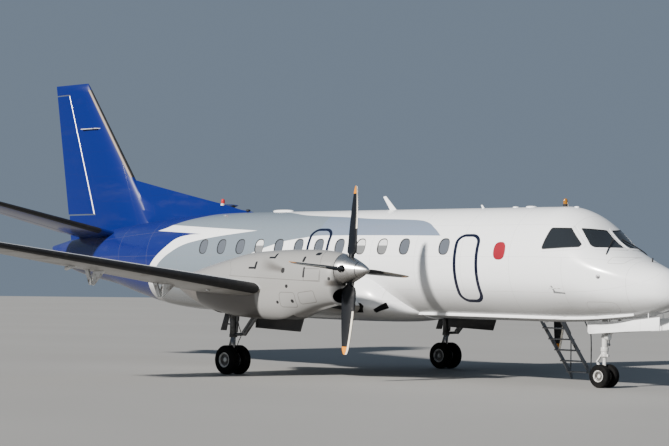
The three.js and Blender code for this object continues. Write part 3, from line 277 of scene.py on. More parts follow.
def hull_ring(table, x, sides, grow=0.0, middle=0.0):
    """Cross-section of a hull: upper and lower half ovals that share their widest line."""
    _, top, bottom, half, widest, square = lines_at(table, x)
    ring = []
    for out, up in squared_circle(sides, square):
        reach = max((top - widest if up > 0 else widest - bottom) + grow, 0.005)
        ring.append(Vector((x, middle + out * max(half + grow, 0.005), widest + up * reach)))
    return ring


def skin_half(table, x, z):
    """Half width of a hull's skin at station x and height z."""
    _, top, bottom, half, widest, square = lines_at(table, x)
    reach = top - widest if z > widest else widest - bottom
    share = min(abs(z - widest) / reach, 1.0)
    return half * (1 - share**square) ** (1 / square)


def evenly(low, high, step):
    count = max(round((high - low) / step), 1)
    return [low + (high - low) * k / count for k in range(count + 1)]


def edit_all():
    bpy.ops.object.mode_set(mode="EDIT")
    bpy.ops.mesh.select_all(action="SELECT")


def loft(name, rings):
    """Skin through rings of equal length: a grid is rolled up, its seam merged and its ends closed."""
    bpy.ops.object.select_all(action="DESELECT")
    bpy.ops.mesh.primitive_grid_add(x_subdivisions=len(rings[0]), y_subdivisions=len(rings) - 1)
    piece = bpy.context.object
    piece.name = name
    places = [value for ring in rings for point in ring + ring[:1] for value in point]
    piece.data.vertices.foreach_set("co", places)
    edit_all()
    bpy.ops.mesh.remove_doubles(threshold=0.00002)
    bpy.ops.mesh.fill_holes(sides=0)
    bpy.ops.mesh.normals_make_consistent(inside=False)
    bpy.ops.object.mode_set(mode="OBJECT")
    return piece


def hull_loft(name, table, places, sides, grow=0.0, middle=0.0):
    return loft(name, [hull_ring(table, x, sides, grow, middle) for x in places])


def prism(name, outline, low, high, axis):
    """Straight solid with an outline: (x, z) points along Y, (y, z) along X or (x, y) along Z."""
    order = {"x": (2, 0, 1), "y": (0, 2, 1), "z": (0, 1, 2)}[axis]
    ends = [[Vector([(a, b, level)[k] for k in order]) for a, b in outline] for level in (low, high)]
    return loft(name, ends)


def pick(*pieces):
    """Selects these pieces alone, with the first of them active."""
    bpy.ops.object.select_all(action="DESELECT")
    for piece in pieces:
        piece.select_set(True)
    bpy.context.view_layer.objects.active = pieces[0]


def settle(piece):
    """Place, turn and size go into the mesh, so the object sits at the origin."""
    pick(piece)
    bpy.ops.object.transform_apply(location=True, rotation=True, scale=True)


def soften(bevel, segments=2, clamp=False):
    """Bevels every edge of the active piece."""
    edit_all()
    bpy.ops.mesh.bevel(offset=bevel, segments=segments, clamp_overlap=clamp)
    bpy.ops.object.mode_set(mode="OBJECT")


def block(name, low, high, bevel=0.0, segments=2):
    """Box between two corners, its edges rounded when a bevel is given."""
    bpy.ops.object.select_all(action="DESELECT")
    bpy.ops.mesh.primitive_cube_add(size=1, location=[(a + b) / 2 for a, b in zip(low, high)])
    piece = bpy.context.object
    piece.name = name
    piece.scale = [abs(b - a) for a, b in zip(low, high)]
    settle(piece)
    if bevel:
        soften(bevel, segments)
    return piece


def rod(name, start, end, radius, end_radius=None, sides=20, bevel=0.0):
    """Round bar between two points, its ends softened when a bevel is given."""
    start, end = Vector(start), Vector(end)
    bpy.ops.object.select_all(action="DESELECT")
    bpy.ops.mesh.primitive_cone_add(vertices=sides, radius1=radius, depth=(end - start).length,
                                    radius2=radius if end_radius is None else end_radius)
    bar = bpy.context.object
    bar.name = name
    if bevel:
        soften(bevel, clamp=True)
    turn = (end - start).to_track_quat("Z", "Y").to_matrix().to_4x4()
    bar.matrix_world = Matrix.Translation((start + end) / 2) @ turn
    settle(bar)
    return bar


def joined(name, pieces):
    pick(*pieces)
    bpy.ops.object.join()
    pieces[0].name = name
    return pieces[0]


def carve(piece, tools, operation="DIFFERENCE", keep=()):
    """Boolean of one piece with several tools, which are used up unless they are kept."""
    for tool in tools:
        cut = piece.modifiers.new("cut", "BOOLEAN")
        cut.operation = operation
        cut.solver = "EXACT"
        cut.object = tool
        pick(piece)
        bpy.ops.object.modifier_apply(modifier="cut")
        if tool not in keep:
            bpy.data.objects.remove(tool)
    return piece


def clone(piece, name):
    copy = piece.copy()
    copy.data = piece.data.copy()
    copy.name = name
    bpy.context.collection.objects.link(copy)
    return copy


def fit(piece, material, body="airframe", replaces=(), angle=35):
    """Smooths a finished piece, paints it and fixes it to the body that carries it."""
    pick(piece)
    bpy.ops.object.shade_smooth_by_angle(angle=math.radians(angle))
    piece.data.materials.clear()
    piece.data.materials.append(material)
    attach(piece, body)
    if replaces:
        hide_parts(*replaces)
    return piece


def rounded(outline, radius, push=0.0, steps=5):
    """Convex outline pushed outwards and with its corners rounded, as a list of points."""
    count = len(outline)
    points = [Vector(point) for point in outline]
    area = sum(points[k - 1].x * points[k].y - points[k].x * points[k - 1].y for k in range(count))
    turn = 1 if area > 0 else -1
    corners = []
    for k in range(count):
        before = (points[k] - points[k - 1]).normalized()
        after = (points[(k + 1) % count] - points[k]).normalized()
        outer = Vector((before.y, -before.x)) * turn + Vector((after.y, -after.x)) * turn
        corners.append(points[k] + outer * push / (1 + before.dot(after)))
    ring = []
    for k in range(count):
        to_last = (corners[k - 1] - corners[k]).normalized()
        to_next = (corners[(k + 1) % count] - corners[k]).normalized()
        half = to_last.angle(to_next) / 2
        centre = corners[k] + (to_last + to_next).normalized() * radius / math.sin(half)
        first = corners[k] + to_last * radius / math.tan(half) - centre
        last = corners[k] + to_next * radius / math.tan(half) - centre
        for step in range(steps + 1):
            ring.append(centre + (first * (1 - step / steps) + last * (step / steps)).normalized() * radius)
    return [tuple(point) for point in ring]


def oval(x, z, half_x, half_z):
    """Rounded window outline about a point."""
    return [(x + out * half_x, z + up * half_z) for out, up in squared_circle(28, 2.6)]


def skin_plate(name, table, outline, outer, inner, side=-1, middle=0.0):
    """Plate that follows a hull's side: its outline is in x and z, outer and inner are its faces' heights."""
    centre = [sum(point[k] for point in outline) / len(outline) for k in (0, 1)]

    def ring(share, height):
        points = []
        for x, z in outline:
            along = centre[0] + share * (x - centre[0])
            up = centre[1] + share * (z - centre[1])
            points.append(Vector((along, middle + side * (skin_half(table, along, up) + height), up)))
        return points

    return loft(name, [ring(s, outer) for s in (0.0, 0.4, 0.75, 0.94)] + [ring(1.0, outer - 0.0015)]
                + [ring(1.0, inner), ring(0.0, inner)])


def distance(a, b):
    return (a * a + b * b).math("SQRT")


# Evenly spaced seams across one direction of a surface, as wide as Width.
seams, w, (place, spacing, offset, width), result = shader_group(
    "seams", {"Place": 0.0, "Spacing": 1.0, "Offset": 0.0, "Width": 0.005}, ["Line"])
off_seam = (place - offset).math("PINGPONG", spacing * 0.5)
w.join(1.0 - off_seam.ramp(width * 0.2, width * 0.5), result["Line"])

# Rows of rivet heads: Along runs down the row, Across from row to row.
rivets, w, (along, across, pitch, rows, radius), result = shader_group(
    "rivets", {"Along": 0.0, "Across": 0.0, "Pitch": 0.03, "Rows": 0.5, "Radius": 0.004}, ["Head"])
off_head = distance(along.math("PINGPONG", pitch * 0.5), across.math("PINGPONG", rows * 0.5))
w.join(1.0 - off_head.ramp(radius * 0.6, radius), result["Head"])

# A flat rounded rectangle on the surface: Fill inside it, Line along its edge.
hatch, w, (across, up, middle_across, middle_up, half_across, half_up, corner, width), result = shader_group(
    "hatch outline",
    {"Across": 0.0, "Up": 0.0, "Middle across": 0.0, "Middle up": 0.0, "Half across": 0.2, "Half up": 0.2,
     "Corner": 0.05, "Width": 0.01},
    ["Fill", "Line"],
)
FILL, LINE = range(2)
over_across = abs(across - middle_across) - (half_across - corner)
over_up = abs(up - middle_up) - (half_up - corner)
inside = (over_across | over_up).math("MINIMUM", 0.0)
edge = distance(over_across | 0.0, over_up | 0.0) + inside - corner
w.join(1.0 - edge.ramp(-0.002, 0.002), result["Fill"])
w.join(1.0 - abs(edge).ramp(width * 0.375, width * 0.5), result["Line"])


def lined(place, spacing, offset, width):
    """Mask of the seams along a direction."""
    return place.wiring.add("Group", place, spacing, offset, width, node_tree=seams)[0]


def riveted(along, across, pitch, rows, radius):
    """Mask of the rivet heads in rows."""
    return along.wiring.add("Group", along, across, pitch, rows, radius, node_tree=rivets)[0]


def outlined(across, up, middle, half, corner, width=0.014, squeeze=1.0):
    """Fill and line of a rounded rectangle; a squeeze below one widens its upright lines."""
    return across.wiring.add("Group", across * squeeze, up, middle[0] * squeeze, middle[1], half[0] * squeeze,
                             half[1], corner, width, node_tree=hatch)


def facing_up(w):
    """Upward part of the surface's normal: 1 on a level top, -1 on a level underside."""
    return w.add("SeparateXYZ", w.normal)[2]


def worn(name, scale, amount, clean, dirty, strength=0.2, **sockets):
    """A plain finish with dirty patches and a fine grain."""
    material, w = new_material(name, **sockets)
    weather = w.grimed(scale, amount)
    w.surface(w.blend(weather[DIRT], clean, dirty), None, weather[GRAIN], strength)
    return material


# The livery is white in front and blue behind, with a white spear and sweep between pale grey fields.
# Each edge is a line of points; z of x, or x of z where the edge is steep.
BLUE_CROWN_EDGE = [(-4.70, 3.127), (-4.453, 3.186), (-4.183, 3.286), (-3.828, 3.386), (-3.434, 3.465),
                   (-3.078, 3.530), (-2.60, 3.556), (-2.14, 3.580)]
SPEAR_TOP = [(-4.292, 3.267), (-3.276, 3.215), (-2.305, 3.167), (-1.008, 3.107)]
SPEAR_FOOT = [(-4.70, 3.127), (-4.136, 3.101), (-3.439, 3.068), (-2.842, 3.032)]
SWEEP_OUTER = [(1.20, -5.15), (1.75, -5.00), (2.257, -4.737), (2.444, -4.538), (2.602, -4.313),
               (2.780, -4.034), (2.926, -3.783), (3.010, -3.394), (3.036, -2.842)]
SWEEP_INNER = [(1.20, -4.90), (1.60, -4.76), (1.95, -4.62), (2.247, -4.452), (2.464, -4.154), (2.622, -3.842),
               (2.779, -3.440), (2.876, -2.984), (2.971, -2.317), (3.045, -1.627), (3.107, -1.008)]
GREY_TOP = [(-1.20, 3.590), (-0.345, 3.507), (0.168, 3.456), (0.940, 3.419), (1.572, 3.394), (2.393, 3.348),
            (3.283, 3.325), (3.818, 3.300), (4.051, 3.262), (4.353, 3.140), (4.640, 2.964)]
GREY_FOOT = [(-2.55, 1.20), (-2.30, 1.70), (-1.90, 2.15), (-1.40, 2.42), (-0.894, 2.608), (-0.624, 2.691),
             (-0.316, 2.774), (0.029, 2.856), (0.292, 2.895), (0.643, 2.936), (0.987, 2.976), (1.6, 2.982),
             (4.640, 2.964)]
EDGE_BLUR = 0.006
DARK_BAND_FROM = 1.01


def edge_line(along, points):
    """The edge's value at each place along it, by a smooth curve through its points."""
    values = [point[1] for point in points]
    low, high = min(values), max(values)
    start, end = points[0][0], points[-1][0]
    share = along.wiring.add("MapRange", along, start, end, 0.0, 1.0)[0]
    curved = along.wiring.add("FloatCurve", 1.0, share)[0]
    mapping = curved.socket.node.mapping
    spots = [((place - start) / (end - start), (value - low) / (high - low)) for place, value in points]
    mapping.curves[0].points[0].location = spots[0]
    mapping.curves[0].points[1].location = spots[-1]
    for spot in spots[1:-1]:
        mapping.curves[0].points.new(*spot)
    mapping.update()
    return curved * (high - low) + low


def past(value, edge, blur=EDGE_BLUR):
    """1 where the value is beyond the edge, and either of them may be a plain number."""
    return (value - edge).ramp(-blur, blur)


WHITE = (0.83, 0.845, 0.86, 1)
BLUE = (0.0, 0.007, 0.108, 1)
PALE_GREY = (0.15, 0.185, 0.22, 1)
BAND_GREY = (0.15, 0.19, 0.26, 1)
NAVY = (0.002, 0.004, 0.016, 1)
GREASE = (0.20, 0.185, 0.17, 1)
# Painted shade colour for skin that faces downwards
UNDERSIDE_SHADE = (0.150, 0.142, 0.130, 1)
STARBOARD_EXIT = {"middle": (5.435, 2.305), "half": (0.290, 0.662), "corner": 0.16}
OVERWING_EXIT = {"middle": (1.140, 2.66), "half": (0.305, 0.452), "corner": 0.16}
ENTRY_DOOR = {"middle": (5.820, 2.430), "half": (0.375, 0.835), "corner": 0.14}
OUTLINE_WIDTH = 0.072
NOSE_PANEL = {"middle": (8.560, 1.580), "half": (0.320, 0.100), "corner": 0.098}
VANE_PANEL = {"middle": (8.852, 2.487), "half": (0.125, 0.064), "corner": 0.030}
BAGGAGE_DOOR = {"middle": (-3.400, 2.300), "half": (0.380, 0.430), "corner": 0.090}

hull_paint, w = new_material("hull paint", Roughness=0.3, Coat_Weight=0.25, Coat_Roughness=0.12)
crown = past(w.z, edge_line(w.x, BLUE_CROWN_EDGE)) & past(-2.14, w.x) & past(w.x, -4.72)
flank = past(edge_line(w.z, SWEEP_OUTER), w.x) & past(edge_line(w.x, SPEAR_FOOT), w.z)
blue = crown | flank | past(-4.70, w.x) & past(w.z, 3.10)
above_spear = past(w.z, edge_line(w.x, SPEAR_TOP)) & past(w.x, -4.4)
inside_sweep = past(w.x, edge_line(w.z, SWEEP_INNER))
between = past(edge_line(w.x, GREY_TOP), w.z) & past(w.z, edge_line(w.x, GREY_FOOT)) & past(4.64, w.x)
grey = (above_spear | inside_sweep) & between
starboard = past(0.0, w.y)
port = 1.0 - starboard
outline = outlined(w.x, w.z, **OVERWING_EXIT, width=OUTLINE_WIDTH * 0.9, squeeze=0.72)[LINE]
for shape, side in ((STARBOARD_EXIT, starboard), (ENTRY_DOOR, port)):
    outline = outline | outlined(w.x, w.z, **shape, width=OUTLINE_WIDTH, squeeze=0.75)[LINE] & side
around = (w.z - 2.41).math("ARCTAN2", abs(w.y))
seam = lined(w.x, 1.271, 0.22, 0.009) | lined(around, 0.62, 0.11, 0.006)
for shape, side in ((NOSE_PANEL, 1.0), (VANE_PANEL, starboard), (BAGGAGE_DOOR, port)):
    seam = seam | outlined(w.x, w.z, **shape)[LINE] & side
heads = riveted(around, w.x, 0.028, 0.424, 0.0035)
weather = w.grimed(0.8, 0.45)
dirt = w.grimed(1.4, 0.55, (0.25, 1.0, 1.6))[DIRT] * (w.z.ramp(1.95, 1.25) * 0.55 + 0.07)
tone = w.blend(grey, WHITE, w.blend(past(w.x, DARK_BAND_FROM), PALE_GREY, BAND_GREY))
tone = w.blend(blue, tone, BLUE)
tone = w.blend(weather[CLOUD] * 0.10, tone, w.blend(0.5, tone, GREASE))
tone = w.blend(dirt, tone, GREASE)
# Painted shade: skin that faces downwards is darkened, to a brown-grey under the white and to a deeper blue
# under the blue.
underside_shade = w.blend(blue, UNDERSIDE_SHADE, (0.002, 0.010, 0.060, 1))
tone = w.blend(facing_up(w).ramp(-0.20, -0.80) * 0.62, tone, underside_shade)
tone = w.blend(outline, w.blend(seam * 0.42, tone, GREASE), NAVY)
relief = weather[CLOUD] * 1.2 + (heads * 0.35 - seam)
w.surface(tone, weather[DIRT] * 0.12 + (dirt * 0.3 + 0.24), relief, 0.35, 0.002)

RADOME_X, COCKPIT_BACK_X, BARREL_BACK_X = 9.53, 6.80, -2.20
BULKHEAD_X, TAIL_CONE_X, TAIL_TIP_X = -5.00, -9.40, -9.80
SKIN = 0.060
NOSE_TIP = [9.53, 9.57, 9.61, 9.65, 9.69, 9.72, 9.75, 9.77, 9.79, 9.81, 9.825, 9.84, 9.852, 9.86, 9.8645]
radome = hull_loft("radome_shell", HULL, [9.53 + SEAM_GAP] + NOSE_TIP[1:], HULL_SIDES)
fit(radome, hull_paint, replaces=["radome"], angle=60)

# Nose wheel well and cockpit hollow, the windscreen and the side windows with their dark seals
SIDE_WINDOW = [(8.215, 2.735), (7.345, 2.680), (7.440, 3.120), (7.825, 3.115)]
WINDSCREEN = [(0.062, 2.738), (0.761, 2.730), (0.637, 3.115), (0.062, 3.085)]
COCKPIT_FLOOR_Z = 1.90
COCKPIT_FRONT_X = 9.01
NOSE_WELL = [(7.83, 1.0), (9.49, 1.0), (9.49, 1.64), (9.01, 1.78), (7.83, 1.78)]
NOSE_WELL_HALF = 0.228
SEAL = 0.016
WINDOW_CORNER = 0.045
GLASS = 0.014

nose_places = evenly(COCKPIT_BACK_X + SEAM_GAP, RADOME_X - SEAM_GAP, 0.075)
nose = hull_loft("nose_skin", HULL, nose_places, HULL_SIDES)
hollow_places = evenly(6.70, COCKPIT_FRONT_X, 0.12)
hollow = hull_loft("cockpit hollow", HULL, hollow_places, 64, -SKIN)
carve(hollow, [block("floor cut", (6.6, -1.3, 1.0), (9.2, 1.3, COCKPIT_FLOOR_Z))])
well = prism("well cut", NOSE_WELL, -NOSE_WELL_HALF, NOSE_WELL_HALF, "y")
carve(nose, [hollow, well])

skin_places = evenly(7.2, 9.15, 0.065)
WINDOW_LAYERS = {"pane": (-0.004, -0.004 - GLASS), "seal": (0.002, -0.030), "surround": (0.006, -0.02)}
window_glass, w = new_material("cockpit glass", Base_Color=(0.035, 0.042, 0.05, 1), Metallic=0.0,
                               Transmission_Weight=0.6, IOR=1.45)
w.surface(None, w.grimed(3.0, 0.4)[DIRT] * 0.10 + 0.03)
seal_rubber = worn("window seal", 6.0, 0.5, (0.012, 0.012, 0.013, 1), (0.05, 0.046, 0.042, 1), Roughness=0.6)
SIDES = (("right", -1), ("left", 1))
for side, sign in SIDES:
    openings = {
        "side_window": (SIDE_WINDOW, sorted((sign * 0.5, sign * 1.3)), "y"),
        "windscreen": ([(sign * y, z) for y, z in WINDSCREEN], (7.90, 9.40), "x"),
    }
    for part, (outline, ends, axis) in openings.items():
        skins = {}
        for layer, (high, low) in WINDOW_LAYERS.items():
            outer_skin = hull_loft("outer", HULL, skin_places, HULL_SIDES, high)
            inner_skin = hull_loft("inner", HULL, evenly(7.1, 9.25, 0.065), HULL_SIDES, low)
            skins[layer] = carve(outer_skin, [inner_skin])
            skins[layer].name = f"{part}_{layer}_{side}"
        hole = prism("hole", rounded(outline, WINDOW_CORNER), *ends, axis)
        glass = prism("glass", rounded(outline, WINDOW_CORNER * 0.75, -SEAL), *ends, axis)
        wide = prism("wide", rounded(outline, WINDOW_CORNER * 1.5, 0.042), *ends, axis)
        carve(skins["pane"], [glass], "INTERSECT", keep=[glass])
        carve(carve(skins["seal"], [hole], "INTERSECT", keep=[hole]), [glass])
        carve(carve(skins["surround"], [wide], "INTERSECT"), [hole], keep=[hole])
        carve(nose, [hole])
        fit(skins["pane"], window_glass, replaces=[f"{part}_{side}"])
        fit(skins["seal"], seal_rubber)
        fit(skins["surround"], hull_paint)
fit(nose, hull_paint, replaces=["nose_fuselage"])

# Cabin and aft fuselage: the passenger windows are acrylic panes set in shallow rounded pockets
# with a rubber seal; some have their blinds down, and one near the front is blanked off in red.
WINDOW_PITCH, WINDOW_FIRST_X, WINDOW_Z = 0.6355, -2.640, 2.740
WINDOW_XS = [WINDOW_FIRST_X + WINDOW_PITCH * k for k in range(11)] + [4.820]
# Half sizes along and up, and the heights of the outer and inner faces over the skin
CABIN_WINDOW = {
    "pocket": ((0.146, 0.174), (0.030, -0.030)),
    "rim": ((0.145, 0.173), (-0.004, -0.029)),
    "hole": ((0.126, 0.154), (0.030, -0.050)),
    "pane": ((0.128, 0.156), (-0.012, -0.029)),
}
RED_WINDOW = (6.310, 2.655, 0.152, 0.180)
BLIND_DOWN = {"right": (3, 8, 9), "left": (1, 5, 6)}
DOORWAY = {"x": (5.475, 6.165), "y": (0.375, 1.30), "z": (1.63, 3.23), "corner": 0.14}

barrel_places = evenly(BARREL_BACK_X + SEAM_GAP, COCKPIT_BACK_X - SEAM_GAP, 0.15)
cabin = hull_loft("cabin_skin", HULL, barrel_places, HULL_SIDES)
aft = hull_loft("aft_skin", HULL, evenly(BULKHEAD_X + SEAM_GAP, BARREL_BACK_X - SEAM_GAP, 0.14), HULL_SIDES)
tail = hull_loft("tail_skin", HULL, evenly(TAIL_CONE_X + SEAM_GAP, BULKHEAD_X - SEAM_GAP, 0.2), HULL_SIDES)
cone = hull_loft("tail_cone_skin", HULL, evenly(TAIL_TIP_X, TAIL_CONE_X - SEAM_GAP, 0.05), HULL_SIDES)

pane_acrylic, w = new_material("window acrylic", Base_Color=(0.085, 0.096, 0.115, 1), Coat_Weight=0.5)
w.surface(None, w.grimed(7.0, 0.4)[DIRT] * 0.15 + 0.08)
blind_plastic, w = new_material("window blind", Roughness=0.5, Coat_Weight=0.4)
slats = lined(w.z, 0.034, 0.0, 0.008)
blind = w.blend(slats | w.grimed(6.0, 0.4)[DIRT], (0.62, 0.63, 0.64, 1), (0.46, 0.47, 0.48, 1))
w.surface(w.blend(past(w.z, 2.765), (0.14, 0.145, 0.15, 1), blind))
red_panel, w = new_material("red panel", Roughness=0.35)
weather = w.grimed(8.0, 0.4)
tone = w.blend(weather[CLOUD], (0.26, 0.008, 0.020, 1), (0.19, 0.006, 0.015, 1))
w.surface(tone, None, weather[GRAIN], 0.1)

pockets = {}
for side, sign in SIDES:
    for k, x in enumerate(WINDOW_XS):
        holder = "aft" if x < BARREL_BACK_X else "cabin"
        pocket, rim, hole, pane = [
            skin_plate(f"window_{layer}_{k:02d}_{side}", HULL, oval(x, WINDOW_Z, *half), *faces, sign)
            for layer, (half, faces) in CABIN_WINDOW.items()]
        pockets.setdefault(holder, []).append(pocket)
        fit(carve(rim, [hole]), seal_rubber)
        fit(pane, blind_plastic if k in BLIND_DOWN[side] else pane_acrylic)
red = skin_plate("red_panel_right", HULL, oval(*RED_WINDOW), 0.006, -0.02, -1)
fit(red, red_panel)
for holder, piece in (("aft", aft), ("cabin", cabin)):
    carve(piece, [joined("pockets", pockets[holder])])

# Entry way: a lined vestibule behind the open door on the port side
doorway_corners = [(DOORWAY["x"][a], DOORWAY["z"][b]) for a, b in ((0, 0), (1, 0), (1, 1), (0, 1))]
doorway_outline = rounded(doorway_corners, DOORWAY["corner"])
carve(cabin, [prism("doorway cut", doorway_outline, *DOORWAY["y"], "y")])
lining_outline = rounded(doorway_corners, DOORWAY["corner"], -0.001)
inner_outline = rounded(doorway_corners, DOORWAY["corner"] - 0.02, -0.022)
lining = prism("entry_lining", lining_outline, 0.376, 1.06, "y")
carve(lining, [prism("lining cut", inner_outline, 0.40, 1.3, "y")])
lining_plastic, w = new_material("cabin lining", Roughness=0.55)
weather = w.grimed(2.5, 0.5)
carpet = w.blend(weather[GRAIN].ramp(0.4, 0.6), (0.10, 0.11, 0.13, 1), (0.15, 0.16, 0.18, 1))
tone = w.blend(w.z.ramp(1.675, 1.668), (0.52, 0.50, 0.46, 1), carpet)
marks = lined(w.z, 0.53, 0.08, 0.008) | weather[DIRT]
w.surface(w.blend(marks * 0.4, tone, GREASE), None, weather[GRAIN], 0.15)
fit(lining, lining_plastic)
carve(cabin, [rod("nose_jack_pad", (6.6, 0, 1.40), (6.6, 0, 1.235), 0.050, sides=32, bevel=0.004)], "UNION")
fit(cabin, hull_paint, replaces=["cabin_fuselage"])
fit(aft, hull_paint, replaces=["aft_fuselage"])
fit(tail, hull_paint, replaces=["tail_section"])
fit(cone, hull_paint, replaces=["tail_cone"])

# Wing-body fairing: a thin moulded shell bolted round the wing joint, with ram air inlets in its
# front. The belly strakes are folded sheet metal along each lower side of the nose and cabin.
FAIRING = [
    (-1.800, 1.500, 1.262, 0.420, 1.400, 2.0),
    (-0.900, 1.950, 1.180, 1.060, 1.530, 2.2),
    (0.000, 2.280, 1.150, 1.320, 1.600, 2.4),
    (1.200, 2.420, 1.140, 1.375, 1.620, 2.5),
    (2.200, 2.420, 1.140, 1.370, 1.600, 2.5),
    (2.850, 2.270, 1.150, 1.270, 1.540, 2.4),
    (3.300, 1.860, 1.180, 0.980, 1.470, 2.2),
    (3.650, 1.500, 1.240, 0.480, 1.400, 2.0),
]
FAIRING_SIDES = 80
RAM_INLETS = [
    [(2.946, 1.337), (3.244, 1.443), (3.195, 1.574), (2.947, 1.410)],
    [(2.230, 1.330), (2.660, 1.338), (2.751, 1.479), (2.678, 1.541), (2.230, 1.525)],
]
fairing = hull_loft("fairing_shell", FAIRING, evenly(-1.8, 3.65, 0.11), FAIRING_SIDES)
# Near-black finish for pipes, wipers and small fittings; the intake, ram inlet and vent linings use it as
# painted shade for the dark depth of those openings.
black_duct = worn("black duct", 5.0, 0.5, (0.006, 0.006, 0.007, 1), (0.03, 0.027, 0.024, 1), Roughness=0.8)
for side, sign in SIDES:
    for k, corners in enumerate(RAM_INLETS):
        mouth = rounded(corners, 0.022)
        inner = rounded(corners, 0.014, -0.009)
        carve(fairing, [skin_plate("mouth", FAIRING, mouth, 0.04, -0.10, sign)])
        duct = skin_plate(f"ram_inlet_{k}_{side}", FAIRING, mouth, 0.008, -0.098, sign)
        carve(duct, [skin_plate("throat", FAIRING, inner, 0.05, -0.085, sign)])
        fit(duct, black_duct)
white_shell, w = new_material("white shell", Coat_Weight=0.2, Coat_Roughness=0.15)
lines = lined(w.x, 0.92, 0.35, 0.008) | lined(w.z, 1.4, 1.6, 0.008)
screws = riveted(w.z, w.x, 0.07, 0.46, 0.006)
dirt = w.grimed(1.8, 0.6, (0.3, 1.0, 1.5))[DIRT] * (w.z.ramp(1.75, 1.15) * 0.5 + 0.08)
tone = w.blend(w.grimed(1.2, 0.5)[CLOUD] * 0.12, WHITE, (0.62, 0.62, 0.61, 1))
tone = w.blend(dirt, tone, GREASE)
# Painted shade: the shell's downward-facing faces are darkened to the same brown-grey.
tone = w.blend(facing_up(w).ramp(-0.15, -0.75) * 0.65, tone, UNDERSIDE_SHADE)
w.surface(w.blend(lines * 0.5, tone, GREASE), dirt * 0.35 + 0.28, screws * 0.4 - lines, 0.35, 0.002)
fit(fairing, white_shell, replaces=["wing_body_fairing"])

STRAKE = {"back": 3.56, "front": 9.05, "half": 0.048, "proud": 0.034, "sunk": 0.02}


def strake_z(x):
    return 1.365 + max(x - 7.3, 0) ** 2 * 0.036


for side, sign in SIDES:
    rings = []
    for x in evenly(STRAKE["back"], STRAKE["front"], 0.12):
        z = strake_z(x)
        taper = min(1.0, (STRAKE["front"] - x) / 0.5 + 0.05, (x - STRAKE["back"]) / 0.3 + 0.05)
        skin = skin_half(HULL, x, z)
        outer = skin + STRAKE["proud"] * taper
        profile = [(skin - STRAKE["sunk"], -0.048), (outer - 0.008, -0.048), (outer, -0.042), (outer, 0.002),
                   (outer - 0.004, 0.010), (skin - STRAKE["sunk"], 0.048)]
        rings.append([Vector((x, sign * y, z + rise)) for y, rise in profile])
    strake = loft(f"strake_{side}", rings)
    fit(strake, hull_paint, replaces=[f"belly_strake_{side}"], angle=25)

# Wings: riveted metal boxes with painted shade, a dark tan-grey, on their undersides. Each has a rubber
# de-icing boot on its leading edge, single-slotted flaps on drop-hinge brackets and a balanced aileron.
WING_CAMBER, WING_INCIDENCE = 0.018, math.radians(1.5)
WING_TIP_Y, ENGINE_Y = 10.72, 3.355
FLAPS = {
    "flap_inner": {"span": (1.440, 2.690), "hinge": 0.755, "brackets": (1.690, 2.440)},
    "flap_outer": {"span": (4.020, 7.230), "hinge": 0.755, "brackets": (5.200, 7.000)},
}
AILERON = {"span": (7.345, 10.350), "hinge": 0.77}
FLAP_PIN = {"along": 0.76, "drop": 0.290}
MOVING_GAP = 0.012
BOOT_PROUD = 0.0015
FIXED_BRACKET = [(0.53, -0.060), (0.74, -0.060), (0.785, -0.250), (0.765, -0.335), (0.735, -0.335)]
MOVING_BRACKET = [(0.79, -0.030), (0.86, -0.030), (0.80, -0.250), (0.775, -0.330), (0.74, -0.320),
                  (0.74, -0.260)]
WING_BOOT = {"outer": (3.960, 10.450), "inner": (1.425, 2.750), "width": 0.075}
SECTION_STEPS = 26


def half_thickness(thickness, along):
    return 5 * thickness * (0.2969 * math.sqrt(along) - 0.126 * along - 0.3516 * along**2
                            + 0.2843 * along**3 - 0.0995 * along**4)


def middle_line(camber, along):
    return 4 * camber * along * (1 - along)


def aerofoil(thickness, camber, steps=SECTION_STEPS):
    """Section as (chord fraction, height fraction), from the trailing edge over the top and back."""
    points = []
    for k in range(2 * steps + 1):
        along = 0.5 * (1 + math.cos(math.pi * k / steps))
        side = 1 if k <= steps else -1
        points.append((along, middle_line(camber, along) + side * half_thickness(thickness, along)))
    return points


def hinged_section(thickness, camber, hinge, steps=12):
    """Aerofoil behind its hinge, with a half-round nose about the hinge."""
    radius = half_thickness(thickness, hinge)

    def skin(side):
        shares = [1 - k / steps for k in range(steps)]
        alongs = [hinge + share * (1 - hinge) for share in shares]
        return [(a, middle_line(camber, a) + side * half_thickness(thickness, a)) for a in alongs]

    turns = [math.pi / 2 - math.pi * k / steps for k in range(steps + 1)]
    middle = middle_line(camber, hinge)
    nose_arc = [(hinge - radius * math.cos(t), middle + radius * math.sin(t)) for t in turns]
    return skin(1) + nose_arc + skin(-1)[::-1]


def wing_chord(y):
    return 2.837 - 0.1652 * y


def wing_thickness(y):
    return 0.162 - 0.0042 * y


def wing_point(sign, y, along, height):
    """Point at span y, a fraction along the chord and a height in metres above its line."""
    back = along * wing_chord(y)
    x = 2.787 - 0.1042 * y - back * math.cos(WING_INCIDENCE) - height * math.sin(WING_INCIDENCE)
    z = 1.804 + 0.1228 * (y - 3.9) - back * math.sin(WING_INCIDENCE) + height * math.cos(WING_INCIDENCE)
    return Vector((x, sign * y, z))


def section_ring(place, chord, thickness, camber, grow):
    """Section at the points that place gives for a chord fraction and a height, grown outwards."""
    ring = []
    for along, high in aerofoil(thickness, camber):
        spread = math.copysign(grow, high - middle_line(camber, along))
        slide = (0.5 - along) * 2 * grow / chord
        ring.append(place(along - slide, high * chord + spread))
    return ring


def wing_ring(sign, y, grow=0.0, shrink=1.0):
    return section_ring(lambda *spot: wing_point(sign, y, *spot), wing_chord(y), wing_thickness(y) * shrink,
                        WING_CAMBER, grow)


